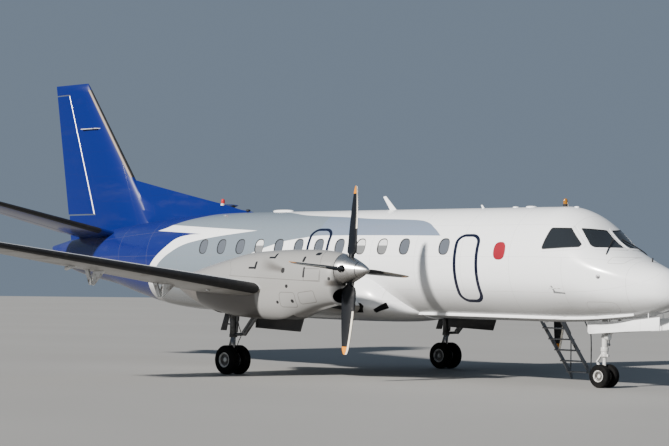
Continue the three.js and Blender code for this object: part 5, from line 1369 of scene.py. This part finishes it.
for side, sign in SIDES:
    y = sign * ENGINE_Y

    def at_leg(point):
        return (MAIN_AXLE_X + point[0], y + sign * point[1], point[2])

    strut = bars(f"main_leg_strut_{side}", MAIN_LEG_STEEL, at_leg)
    bore_ends = [(MAIN_AXLE_X, y + offset, MAIN_TYRE["radius"]) for offset in (-0.09, 0.09)]
    carve(strut, [rod("bore", *bore_ends, MAIN_TYRE["axle"] + 0.005, sides=32)])
    fit(strut, gear_steel, replaces=[f"main_leg_{side}"])
    piston = bars(f"main_leg_piston_{side}", [((0, 0, 0.345), (0, 0, 0.90), 0.054)], at_leg)
    fit(piston, chrome)
    for name, outline, half in (("upper_link", UPPER_LINK, 0.026), ("lower_link", LOWER_LINK, 0.022)):
        fit(plate(f"{name}_{side}", MAIN_AXLE_X, outline, y - half, y + half), gear_steel)
    brace = plate(f"drag_brace_{side}", MAIN_AXLE_X, DRAG_BRACE, y - 0.028, y + 0.028)
    for low, high in ((-0.05, -0.012), (0.012, 0.05)):
        groove = [(MAIN_AXLE_X + along, z) for along, z in BRACE_GROOVE]
        carve(brace, [prism("groove", groove, y + low, y + high, "y")])
    fit(brace, brace_paint)
    fit(pipe(f"brake_pipe_{side}", [at_leg(point) for point in BRAKE_PIPE], 0.009), black_duct)
    discs = []
    for way in (-1, 1):
        disc_ends = [(MAIN_AXLE_X, y + way * across, MAIN_TYRE["radius"]) for across in BRAKE_REACH]
        discs.append(rod("brake", *disc_ends, 0.098, sides=40, bevel=0.006))
    brakes = joined(f"brake_packs_{side}", discs)
    carve(brakes, [rod("bore", *bore_ends, MAIN_TYRE["axle"] + 0.005, sides=32)])
    fit(brakes, engine_steel)
    door_y = sorted((y + sign * 0.030, y + sign * 0.050))
    fit(plate(f"leg_door_{side}", MAIN_AXLE_X, LEG_DOOR, *door_y), shaded_door)
    door_middle = y - sign * 0.310
    door = plate(f"well_door_{side}", 0, WELL_DOOR, door_middle - 0.014, door_middle + 0.014)
    facing = sorted((door_middle + sign * 0.008, door_middle + sign * 0.03))
    carve(door, [prism("panel", rounded(WELL_DOOR, 0.03, -0.045), *facing, "y"),
                 hull_loft("skin room", NACELLE, NACELLE_PLACES, NACELLE_SIDES, CLEARANCE, y)])
    fit(door, shaded_door, replaces=[f"main_gear_doors_{side}"])

# Nose landing gear: a white enamelled strut with a drag brace, a steering cylinder and a round
# lamp, above the turning fork with its torque links. Long white doors hang beside the well.
NOSE_LEG = [
    ((0, 0, 0.706), (0, 0, 1.740), 0.058), ((0, 0, 0.706), (0, 0, 0.790), 0.078),
    ((0, 0, 0.96), (0, 0, 1.02), 0.068),
    ((0, 0, 1.36), (0, 0, 1.42), 0.068), ((0, -0.2277, 1.660), (0, 0.2277, 1.660), 0.036),
    ((0.040, 0, 0.930), (0.640, 0, 1.660), 0.026), ((0.30, 0, 1.246), (0.36, 0, 1.319), 0.036),
    ((0.620, -0.2277, 1.650), (0.620, 0.2277, 1.650), 0.022),
    ((-0.030, 0.020, 0.840), (-0.030, 0.190, 0.840), 0.030),
    ((-0.030, -0.03, 0.840), (-0.030, 0.02, 0.840), 0.018),
]
NOSE_FORK = [
    ((0, 0, 0.190), (0, 0, 0.700), 0.036), ((0, 0, 0.600), (0, 0, 0.700), 0.070),
    ((0, 0, 0.615), (0, 0, 0.635), 0.076),
    ((0, -0.048, 0.2285), (0, 0.048, 0.2285), 0.046), ((0, 0, 0.300), (0, 0, 0.345), 0.044),
    ((-0.168, -0.030, 0.505), (-0.168, 0.030, 0.505), 0.015),
]
NOSE_LINKS = [[(-0.040, 0.660), (-0.165, 0.500), (-0.185, 0.520), (-0.050, 0.694)],
              [(-0.030, 0.250), (-0.180, 0.470), (-0.165, 0.515), (-0.030, 0.330)]]
NOSE_DOOR = [(7.860, 1.285), (8.800, 1.325), (9.560, 1.420), (9.560, 1.165), (8.800, 1.122), (7.900, 1.048),
             (7.860, 1.085)]
NOSE_LAMP = [(0.030, 0.030), (0.045, 0.060), (0.085, 0.070), (0.136, 0.070), (0.139, 0.066), (0.139, 0.060)]
NOSE_PIPE = [(0.05, 0.05, 1.5), (0.08, 0.055, 1.2), (0.062, 0.06, 0.95), (0.08, 0.045, 0.82)]

gear_white, w = new_material("gear white", Coat_Weight=0.3, Coat_Roughness=0.2)
weather = w.grimed(7.0, 0.6)
tone = w.blend(weather[DIRT] * 0.6, (0.50, 0.50, 0.49, 1), (0.10, 0.09, 0.075, 1))
w.surface(tone, weather[DIRT] * 0.3 + 0.3, weather[GRAIN], 0.15)


def at_nose(point):
    return (NOSE_AXLE_X + point[0], point[1], point[2])


fit(bars("nose_leg_strut", NOSE_LEG, at_nose), gear_white, replaces=["nose_leg"])
fork = bars("nose_fork_strut", NOSE_FORK, at_nose)
bore_ends = [(NOSE_AXLE_X, offset, NOSE_TYRE["radius"]) for offset in (-0.08, 0.08)]
carve(fork, [rod("bore", *bore_ends, NOSE_TYRE["axle"] + 0.005, sides=32)])
fit(fork, gear_white, "nose_steering", replaces=["nose_fork"])
tow_lug = block("tow_lug", (NOSE_AXLE_X + 0.04, -0.025, 0.605), (NOSE_AXLE_X + 0.1, 0.025, 0.655), 0.005)
fit(tow_lug, gear_white, "nose_steering")
for k, outline in enumerate(NOSE_LINKS):
    link = plate(f"nose_link_{k}", NOSE_AXLE_X, outline, -0.020, 0.020)
    fit(link, gear_white, "nose_steering")
lamp = loft("taxi_lamp_housing", [axle_ring(NOSE_AXLE_X + x, -0.03, 1.0, r, 40) for x, r in NOSE_LAMP])
fit(lamp, gear_white)
lens = loft("taxi_lamp_lens", [axle_ring(NOSE_AXLE_X + x, -0.03, 1.0, r, 40) for x, r in
                               ((0.1392, 0.060), (0.1396, 0.059), (0.1400, 0.035), (0.1402, 0.001))])
lamp_glass, w = new_material("lamp glass", Metallic=0.0, Roughness=0.08, Coat_Weight=1.0)
w.surface(w.blend(lined(w.y, 0.012, 0.0, 0.004), (0.75, 0.78, 0.80, 1), (0.35, 0.37, 0.40, 1)))
fit(lens, lamp_glass)
pipe_points = [at_nose(point) for point in NOSE_PIPE]
fit(pipe("nose_brake_pipe", pipe_points, 0.008), black_duct)

nose_room = hull_loft("nose room", HULL, evenly(7.7, 9.65, 0.075), HULL_SIDES, CLEARANCE)
for side, sign in SIDES:
    middle = sign * 0.240
    door = plate(f"nose_door_{side}", 0, NOSE_DOOR, middle - 0.011, middle + 0.011, 0.005)
    arms = [rod("arm", (x, middle, 1.20), (x, middle, 1.50), 0.009, bevel=0.002) for x in (8.05, 9.30)]
    parts = [carve(piece, [nose_room], keep=[nose_room]) for piece in (door, *arms)]
    door = joined(f"nose_gear_door_{side}", parts)
    fit(door, hull_paint, replaces=[f"nose_door_{side}"])
bpy.data.objects.remove(nose_room)

# Passenger door and airstair on the port side: the door is a curved hull panel with a moulded
# inner lining, swung out and forward on its arm. The stair is folded aluminium with tubular rails.
DOOR_PANEL = [(5.0, 1.64), (5.66, 1.64), (5.66, 3.22), (5.0, 3.22)]
DOOR_MOVED = Vector((1.250, 0.130, 0))
DOOR_LAYERS = {
    "panel": (rounded(DOOR_PANEL, 0.12), 0.0, -0.045),
    "lining": (rounded(DOOR_PANEL, 0.10, -0.025), -0.0452, -0.070),
}
door_parts = {}
for layer, (outline, high, low) in DOOR_LAYERS.items():
    whole = hull_loft("whole", HULL, evenly(4.90, 5.76, 0.215), HULL_SIDES * 2, high)
    carve(whole, [hull_loft("inner", HULL, evenly(4.80, 5.86, 0.53), HULL_SIDES * 2, low)])
    carve(whole, [prism("limit", outline, 0.4, 1.3, "y")], "INTERSECT")
    whole.location = DOOR_MOVED
    settle(whole)
    whole.name = f"passenger_door_{layer}"
    door_parts[layer] = whole
fit(door_parts["panel"], hull_paint, replaces=["passenger_door"])
fit(door_parts["lining"], lining_plastic)
door_hinge = joined("passenger_door_arm", [
    rod("pivot", (6.225, 1.090, 2.500), (6.225, 1.260, 2.500), 0.028, bevel=0.004),
    rod("arm", (6.205, 1.245, 2.500), (6.585, 1.245, 2.500), 0.026, bevel=0.004),
    rod("lug", (6.225, 1.245, 2.455), (6.225, 1.245, 2.545), 0.040, bevel=0.004),
])
carve(door_hinge, [hull_loft("skin room", HULL, evenly(6.0, 6.7, 0.35), HULL_SIDES, CLEARANCE)])
fit(door_hinge, gear_white)
handle = block("passenger_door_handle", (6.50, 1.055, 2.35), (6.66, 1.085, 2.39), 0.008)
fit(handle, gear_steel)

STAIR = {"x": (5.550, 6.090), "top": (0.905, 1.560), "foot": (2.260, 0.026), "steps": 6}
RAIL_HEIGHT = 0.860


def stair_at(share):
    return [a + share * (b - a) for a, b in zip(STAIR["top"], STAIR["foot"])]


stair_alloy, w = new_material("stair alloy", Metallic=0.75)
weather = w.grimed(6.0, 0.6)
tone = w.blend(weather[DIRT], (0.22, 0.225, 0.235, 1), (0.08, 0.075, 0.07, 1))
studs = riveted(w.x, w.y, 0.03, 0.03, 0.008)
w.surface(tone, weather[GRAIN] * 0.3 + 0.35, studs + weather[GRAIN], 0.3)

rail_start, rail_rise = stair_at(0.03)
stringer = [(rail_start, rail_rise - 0.060), (rail_start, rail_rise + 0.060), (2.260, 0.110), (2.260, 0.012),
            (2.240, 0.012)]
top, foot = (rail_start + 0.090, rail_rise - 0.030), (2.200, 0.106)
stair_parts = [block("sill", (STAIR["x"][0], 0.925, 1.500), (STAIR["x"][1], 0.990, 1.560), 0.006)]
for x in STAIR["x"]:
    stair_parts.append(prism("stringer", stringer, x - 0.014, x + 0.014, "x"))
    post_top, post_foot = (top[0], top[1] + RAIL_HEIGHT), (foot[0], foot[1] + RAIL_HEIGHT)
    outline = [(x, *top), (x, top[0], top[1] + RAIL_HEIGHT - 0.08), (x, top[0] + 0.07, post_top[1] - 0.08),
               (x, foot[0] - 0.07, post_foot[1] + 0.08), (x, foot[0], post_foot[1] - 0.02), (x, *foot)]
    stair_parts.append(pipe("rail", outline, 0.014))
    for share in (0.36, 0.68):
        low = [top[k] + share * (foot[k] - top[k]) for k in (0, 1)]
        stair_parts.append(rod("post", (x, *low), (x, low[0], low[1] + RAIL_HEIGHT - 0.02), 0.010))
for k in range(STAIR["steps"]):
    y, z = stair_at((k + 1) / (STAIR["steps"] + 0.6))
    (left, right), half = STAIR["x"], 0.105
    step = block("step", (left, y - half, z - 0.014), (right, y + half, z + 0.014), 0.004)
    carve(step, [block("under", (left + 0.03, y - 0.09, z - 0.03), (right - 0.03, y + 0.09, z))])
    stair_parts.append(step)
airstair = joined("airstair_frame", stair_parts)
skin_room = hull_loft("skin room", HULL, evenly(5.2, 6.4, 0.4), HULL_SIDES, CLEARANCE)
carve(airstair, [skin_room])
fit(airstair, stair_alloy, replaces=["airstair"])

# Cockpit: two padded seats on pedestals, a centre console and an instrument panel with a glare
# shield and a strip of dark displays, in grey moulded trim behind the windows.
trim_grey, w = new_material("cockpit trim")
weather = w.grimed(5.0, 0.4)
tone = w.blend(weather[CLOUD], (0.075, 0.08, 0.085, 1), (0.045, 0.047, 0.05, 1))
w.surface(tone, weather[GRAIN] * 0.2 + 0.55, weather[GRAIN], 0.3)
seat_cloth, w = new_material("seat fabric", Roughness=0.85, Sheen_Weight=0.3)
weave = lined(w.y, 0.004, 0.0, 0.002) | lined(w.x + w.z, 0.004, 0.0, 0.002)
tone = w.blend(w.grimed(8.0, 0.4)[CLOUD], (0.045, 0.05, 0.065, 1), (0.03, 0.034, 0.045, 1))
w.surface(w.blend(weave * 0.4, tone, (0.015, 0.016, 0.02, 1)), None, weave, 0.3)
display, w = new_material("display glass", Roughness=0.1, Coat_Weight=0.8)
w.surface(w.blend(lined(w.y, 0.19, 0.0, 0.03), (0.010, 0.013, 0.018, 1), (0.05, 0.05, 0.055, 1)))


def cushion(name, low, high, crown):
    """Padded block: bevelled, cut into quads and crowned by one round of subdivision."""
    pad = block(name, low, high, crown, 3)
    edit_all()
    bpy.ops.mesh.subdivide(number_cuts=2, smoothness=0.35)
    bpy.ops.object.mode_set(mode="OBJECT")
    return pad


floor = block("cockpit_floor", (6.90, -0.62, 1.902), (8.70, 0.62, 1.930), 0.004)
fit(floor, trim_grey, replaces=["cockpit_interior"])
console_shape = [(7.90, 1.93), (8.45, 1.93), (8.45, 2.35), (8.20, 2.35), (7.90, 2.22)]
fit(prism("cockpit_console", console_shape, -0.13, 0.13, "y"), trim_grey)
panel_shape = [(8.34, 1.93), (8.54, 1.93), (8.54, 2.53), (8.31, 2.56), (8.30, 2.535), (8.37, 2.50)]
fit(prism("instrument_panel", panel_shape, -0.52, 0.52, "y"), trim_grey)
fit(block("instrument_displays", (8.335, -0.46, 2.22), (8.365, 0.46, 2.46), 0.004), display)
# Fore and aft, outwards and upwards reach of each pad, and its crown
SEAT_PADS = {
    "seat_cushion": ((7.375, 7.855), (0.20, 0.61), (2.105, 2.285), 0.05),
    "seat_back": ((7.302, 7.425), (0.20, 0.61), (2.215, 2.835), 0.045),
    "seat_head": ((7.315, 7.405), (0.30, 0.51), (2.840, 3.005), 0.035),
}
for side, sign in SIDES:
    inner, outer = sorted((sign * 0.25, sign * 0.56))
    base = block(f"seat_base_{side}", (7.42, inner, 1.930), (7.80, outer, 2.10), 0.03)
    fit(base, trim_grey)
    for name, (along, span, rise, crown) in SEAT_PADS.items():
        inner, outer = sorted(sign * across for across in span)
        pad = cushion(f"{name}_{side}", (along[0], inner, rise[0]), (along[1], outer, rise[1]), crown)
        fit(pad, seat_cloth)
    column_ends = [(8.20, sign * 0.40, 1.93), (8.12, sign * 0.40, 2.40)]
    stalk = rod(f"control_column_{side}", *column_ends, 0.022, bevel=0.003)
    fit(stalk, trim_grey)

# Fin, dorsal fillet and rudder: riveted metal with a raked trailing edge, a rubber de-icing boot
# on the fin's leading edge, a light gap round the rudder and three hinge fittings in it.
FIN_THICKNESS = 0.11
RUDDER_Z = (3.600, 6.690)
FIN_BOOT = {"width": 0.095, "z": (4.500, 6.800)}
DORSAL = [(-2.140, 3.575, 0.012), (-2.60, 3.640, 0.030), (-3.200, 3.775, 0.060), (-3.80, 3.888, 0.080),
          (-4.430, 4.010, 0.095), (-5.50, 4.222, 0.112), (-6.520, 4.430, 0.125), (-7.300, 4.430, 0.120)]


def fin_lead(z):
    return -6.520 - 0.785 * (z - 4.430)


def fin_chord(z):
    return fin_lead(z) + 9.210 + 0.1921 * (z - 3.560)


def rudder_hinge(z):
    return -8.010 - 0.385 * (z - 3.430)


def fin_point(z, along, across):
    return Vector((fin_lead(z) - along * fin_chord(z), across, z))


def fin_ring(z, shrink=1.0, grow=0.0):
    return section_ring(lambda *spot: fin_point(z, *spot), fin_chord(z), FIN_THICKNESS * shrink, 0, grow)


def hinge_share(z):
    return (fin_lead(z) - rudder_hinge(z)) / fin_chord(z)


def rudder_ring(z):
    section = hinged_section(FIN_THICKNESS, 0, hinge_share(z))
    return [fin_point(z, along, across * fin_chord(z)) for along, across in section]


def fin_slab(low, high, front, back, half=0.4):
    rings = []
    for z in (low, high):
        corners = ((front(z), -half), (front(z), half), (back(z), half), (back(z), -half))
        rings.append([Vector((x, y, z)) for x, y in corners])
    return loft("slab", rings)


def fin_body(name, grow=0.0):
    rings = [fin_ring(z, 1.0, grow) for z in evenly(2.70, 6.85, 0.25)]
    rounds = [(6.892, 0.90), (6.925, 0.76), (6.950, 0.56), (6.970, 0.30)]
    return loft(name, rings + [fin_ring(z, shrink, grow) for z, shrink in rounds])


def half_width_at_hinge(z):
    return half_thickness(FIN_THICKNESS, hinge_share(z)) * fin_chord(z)


def rudder_front(z):
    return rudder_hinge(z) + half_width_at_hinge(z) + MOVING_GAP


def dorsal_ring(x, ridge, half):
    middle = (3.150 + ridge) / 2
    right = [(-half, 3.150), (-half * 0.82, middle - 0.1), (-half * 0.6, middle),
             (-half * 0.36, middle * 0.4 + ridge * 0.6), (-0.009, ridge - 0.006)]
    return [Vector((x, y, z)) for y, z in right + [(0, ridge)] + [(-y, z) for y, z in right[::-1]]]


tail_paint, w = new_material("tail paint", Coat_Weight=0.25, Coat_Roughness=0.12)
outward = w.z + abs(w.y)
swept = (abs(w.y) * 0.1 + w.z) * 0.52 + w.x
lines = lined(outward, 0.62, 0.35, 0.007) | lined(swept, 0.66, 0.20, 0.006)
heads = riveted(swept, outward, 0.03, 0.31, 0.004)
streaks = w.grimed(1.8, 0.5, (0.3, 1.0, 1.4))[DIRT]
tone = w.blend(w.grimed(1.0, 0.45)[CLOUD] * 0.35, BLUE, (0.0, 0.005, 0.082, 1))
tone = w.blend(streaks * 0.12, tone, (0.010, 0.014, 0.04, 1))
tone = w.blend(lines * 0.35, tone, (0.003, 0.006, 0.03, 1))
w.surface(tone, streaks * 0.12 + 0.28, heads * 0.35 - lines, 0.3, 0.002)

hull_room = hull_loft("hull room", HULL, evenly(-9.8, -1.9, 0.2), HULL_SIDES, CLEARANCE)
fin = fin_body("fin_skin")
carve(fin, [
    fin_slab(RUDDER_Z[0] - 0.034, RUDDER_Z[1] + 0.030, rudder_front, lambda z: -10.5),
    fin_slab(*FIN_BOOT["z"], lambda z: fin_lead(z) + 0.2, lambda z: fin_lead(z) - FIN_BOOT["width"]),
    block("tail end", (-12, -0.4, 2.5), (-9.165, 0.4, RUDDER_Z[0] - 0.034)),
])
carve(fin, [loft("dorsal", [dorsal_ring(*row) for row in DORSAL])], "UNION")
carve(fin, [hull_room], keep=[hull_room])
fit(fin, tail_paint, replaces=["fin"])
boot = carve(fin_body("fin_boot_strip", BOOT_PROUD), [
    fin_slab(FIN_BOOT["z"][0] + 0.001, FIN_BOOT["z"][1] - 0.001, lambda z: fin_lead(z) + 0.2,
             lambda z: fin_lead(z) - FIN_BOOT["width"] + 0.001)], "INTERSECT")
fin_boot_rubber, w = new_material("fin boot rubber", Roughness=0.55)
weather = w.grimed(4.0, 0.6)
from_front = fin_lead(w.z) - w.x
strip = from_front.ramp(0.028, 0.034) & from_front.ramp(0.084, 0.078)
tone = w.blend(weather[DIRT], (0.008, 0.007, 0.007, 1), (0.022, 0.018, 0.015, 1))
w.surface(w.blend(strip, tone, (0.20, 0.145, 0.115, 1)), None, weather[GRAIN], 0.25)
fit(boot, fin_boot_rubber, replaces=["fin_boot"])
rudder = loft("rudder_skin", [rudder_ring(z) for z in evenly(*RUDDER_Z, 0.31)])
fit(rudder, tail_paint, "rudder_panel", replaces=["rudder"])
for k, z in enumerate((3.85, 5.05, 6.20)):
    front, thick = rudder_front(z), half_width_at_hinge(z)
    low, high = (front - 0.004, -thick * 0.9, z - 0.035), (front + 0.06, thick * 1.08, z + 0.035)
    fitting = block(f"rudder_hinge_{k}", low, high, 0.006)
    fit(fitting, bracket_paint)

# Tailplane: two swept-up halves beside the fin, with rubber boots on their leading edges and
# horn-free elevators behind; all painted blue over riveted metal.
TAIL_THICKNESS = 0.11
ELEVATOR = {"y": (0.640, 4.560), "hinge": 0.69, "room": 0.045}
TAIL_BOOT = {"y": (0.780, 4.480), "width": 0.07}


def tail_point(sign, y, along, height):
    out = y - 0.45
    return Vector((-6.770 - 0.24 * out - along * tail_chord(y), sign * y, 3.080 + 0.2217 * out + height))


def tail_chord(y):
    return 2.000 - 0.2156 * (y - 0.45)


def tail_ring(sign, y, shrink=1.0, grow=0.0):
    thickness = TAIL_THICKNESS * shrink
    return section_ring(lambda *spot: tail_point(sign, y, *spot), tail_chord(y), thickness, 0, grow)


def tail_body(name, sign, grow=0.0):
    rings = [tail_ring(sign, y, 1.0, grow) for y in evenly(0.06, 4.5, 0.37)]
    rounds = [(4.545, 0.88), (4.580, 0.72), (4.605, 0.5), (4.625, 0.25)]
    return loft(name, rings + [tail_ring(sign, y, shrink, grow) for y, shrink in rounds])


hinge = ELEVATOR["hinge"]
elevator_front = hinge - half_thickness(TAIL_THICKNESS, hinge) - MOVING_GAP / tail_chord(4.625)
for side, sign in SIDES:
    plane = tail_body(f"tailplane_skin_{side}", sign)
    fin_root = loft("fin root", [fin_ring(z, 1.03) for z in (2.7, 3.5)])
    inboard = block("inboard", (-12, -ELEVATOR["y"][0], 2.0), (-8.5, ELEVATOR["y"][0], 4.0))
    elevator_span = (ELEVATOR["y"][0] - ELEVATOR["room"], 4.675)
    carve(plane, [
        fin_root,
        slab(tail_point, sign, elevator_span, elevator_front, 1.2, 0.5),
        slab(tail_point, sign, TAIL_BOOT["y"], -0.05, TAIL_BOOT["width"], 0.5),
        hull_room,
        inboard,
    ], keep=[hull_room])
    fit(plane, tail_paint, replaces=[f"tailplane_{side}"])
    boot_span = (TAIL_BOOT["y"][0] + 0.001, TAIL_BOOT["y"][1] - 0.001)
    boot = carve(tail_body(f"tail_boot_rubber_{side}", sign, BOOT_PROUD),
                 [slab(tail_point, sign, boot_span, -0.05, TAIL_BOOT["width"] - 0.0008, 0.5)], "INTERSECT")
    fit(boot, boot_rubber, replaces=[f"tail_boot_{side}"])
    section = hinged_section(TAIL_THICKNESS, 0, ELEVATOR["hinge"])
    elevator = loft(f"elevator_skin_{side}", [
        [tail_point(sign, y, along, high * tail_chord(y)) for along, high in section]
        for y in evenly(*ELEVATOR["y"], 0.49)])
    fit(elevator, tail_paint, f"elevator_panel_{side}", replaces=[f"elevator_{side}"])
bpy.data.objects.remove(hull_room)

# Antennas, beacons, probes and lights: small moulded or metal fittings set on the skin where the
# photograph shows them.
ANTENNA = [(2.468, 3.540), (2.275, 3.540), (2.045, 3.855), (2.120, 3.870)]
antenna = plate("roof_antenna_blade", 0, ANTENNA, -0.014, 0.014, 0.006)
carve(antenna, [hull_loft("roof room", HULL, evenly(-3.5, 9.6, 0.15), HULL_SIDES, CLEARANCE)])
fit(antenna, white_shell, replaces=["roof_antenna"])


def blade_antenna(name, x, foot, height, length, material, lean=0.5, half=0.010):
    """Small swept blade with its foot sunk in the skin."""
    outline = [(x, foot), (x - length, foot), (x - length - height * lean, foot + height),
               (x - length * 0.45 - height * lean, foot + height)]
    piece = plate(name, 0, outline, -half, half, half * 0.45)
    return fit(piece, material)


def beacon(name, pitch, width, clear, dark):
    """Moulded lamp glass with fine rings."""
    material, w = new_material(name, Roughness=0.12, Coat_Weight=1.0)
    w.surface(w.blend(lined(w.z, pitch, 0.0, width), clear, dark))
    return material


beacon_red = beacon("red beacon", 0.012, 0.004, (0.55, 0.02, 0.02, 1), (0.25, 0.01, 0.01, 1))
beacon_amber = beacon("amber beacon", 0.014, 0.005, (0.28, 0.115, 0.008, 1), (0.12, 0.045, 0.004, 1))


def skin_top(x, y):
    """Height of the hull's upper skin over a point."""
    _, top, _, half, widest, square = lines_at(HULL, x)
    return widest + (top - widest) * (1 - (abs(y) / half) ** square) ** (1 / square)


def dome(name, middle, radius, height, material, stretch=1.0):
    """Drum with a domed top, longer fore and aft when stretched."""
    profile = [(0.0, 1.0), (0.55, 1.0), (0.72, 0.94), (0.86, 0.78), (0.96, 0.45), (1.0, 0.02)]
    x, y, z = middle
    rings = [[Vector((x + stretch * radius * r * out, y + radius * r * aside, z + height * h))
              for out, aside in circle(28)] for h, r in profile]
    return fit(loft(name, rings), material)


dome("fin_beacon_lamp", (-3.22, 0.0, 3.79), 0.045, 0.115, beacon_red)
fin_foot = rod("fin_beacon_foot", (-3.22, 0.0, 3.74), (-3.22, 0.0, 3.79), 0.055, bevel=0.006)
fit(fin_foot, bracket_paint)
dome("roof_beacon_lamp", (7.07, 0.0, 3.62), 0.045, 0.115, beacon_amber)
roof_foot = rod("roof_beacon_foot", (7.07, 0.0, 3.53), (7.07, 0.0, 3.62), 0.050, bevel=0.006)
fit(roof_foot, black_duct)
blade_antenna("front_blade_antenna", 4.96, 3.550, 0.085, 0.065, white_shell)
ROOF_BUMPS = {
    "roof_bump_a": ((5.79, 0.0, 3.555), 0.065, 0.034, 1.0),
    "roof_bump_b": ((6.20, 0.0, 3.553), 0.110, 0.042, 1.0),
    "roof_bump_c": ((7.36, 0.0, 3.532), 0.050, 0.040, 1.0),
    "rear_roof_bump": ((-1.12, 0.0, 3.558), 0.130, 0.058, 2.4),
}
for name, (middle, radius, height, stretch) in ROOF_BUMPS.items():
    dome(name, middle, radius, height, white_shell, stretch)
fin_outline = [(-7.86, -0.09), (-8.58, -0.09), (-8.56, -0.185), (-7.95, -0.185)]
fit(prism("fin_side_antenna", fin_outline, 5.772, 5.788, "z"), bracket_paint)
dome("dorsal_vent", (-2.33, 0.0, 3.598), 0.055, 0.045, black_duct)

for side, sign in SIDES:
    probe = joined(f"pitot_probe_{side}", [
        rod("mast", (7.585, sign * 1.075, 1.965), (7.640, sign * 1.150, 1.930), 0.018, 0.012, bevel=0.002),
        rod("tube", (7.60, sign * 1.150, 1.930), (7.87, sign * 1.150, 1.925), 0.013, 0.008, bevel=0.002),
    ])
    fit(probe, bracket_paint)
    vane = joined(f"angle_vane_{side}", [
        rod("disc", (8.609, sign * 0.925, 2.169), (8.617, sign * 0.947, 2.171), 0.042, bevel=0.003),
        rod("pin", (8.615, sign * 0.940, 2.170), (8.628, sign * 0.985, 2.174), 0.012),
    ])
    fit(vane, engine_steel)
    arm = [(8.60, sign * 0.665, skin_top(8.60, 0.665) - 0.03)]
    for x, y in ((8.60, 0.66), (8.53, 0.49), (8.45, 0.30), (8.37, 0.14)):
        arm.append((x, sign * y, skin_top(x, y) + 0.026))
    wiper = pipe(f"wiper_{side}", arm, 0.011)
    fit(wiper, black_duct)
    for k, y in enumerate((8.2, 9.4, 10.3)):
        tip = wing_point(sign, y, 1.0, 0.0)
        wick_ends = [tip + Vector(step) for step in ((0.03, 0, 0), (-0.11, 0, 0.004))]
        fit(rod(f"static_wick_{k}_{side}", *wick_ends, 0.004, 0.002), black_duct,
            f"aileron_panel_{side}")
    root = wing_point(sign, 10.55, 0.12, 0.0)
    lamp = rod(f"tip_lamp_{side}", root, root + Vector((0.0, sign * 0.10, 0.0)), 0.050, 0.030, bevel=0.012)
    fit(lamp, beacon_red if sign == 1 else lamp_glass)
fit(rod("nose_fitting", (9.150, 0.070, 2.440), (9.165, 0.064, 2.550), 0.018, 0.012, bevel=0.002), black_duct)
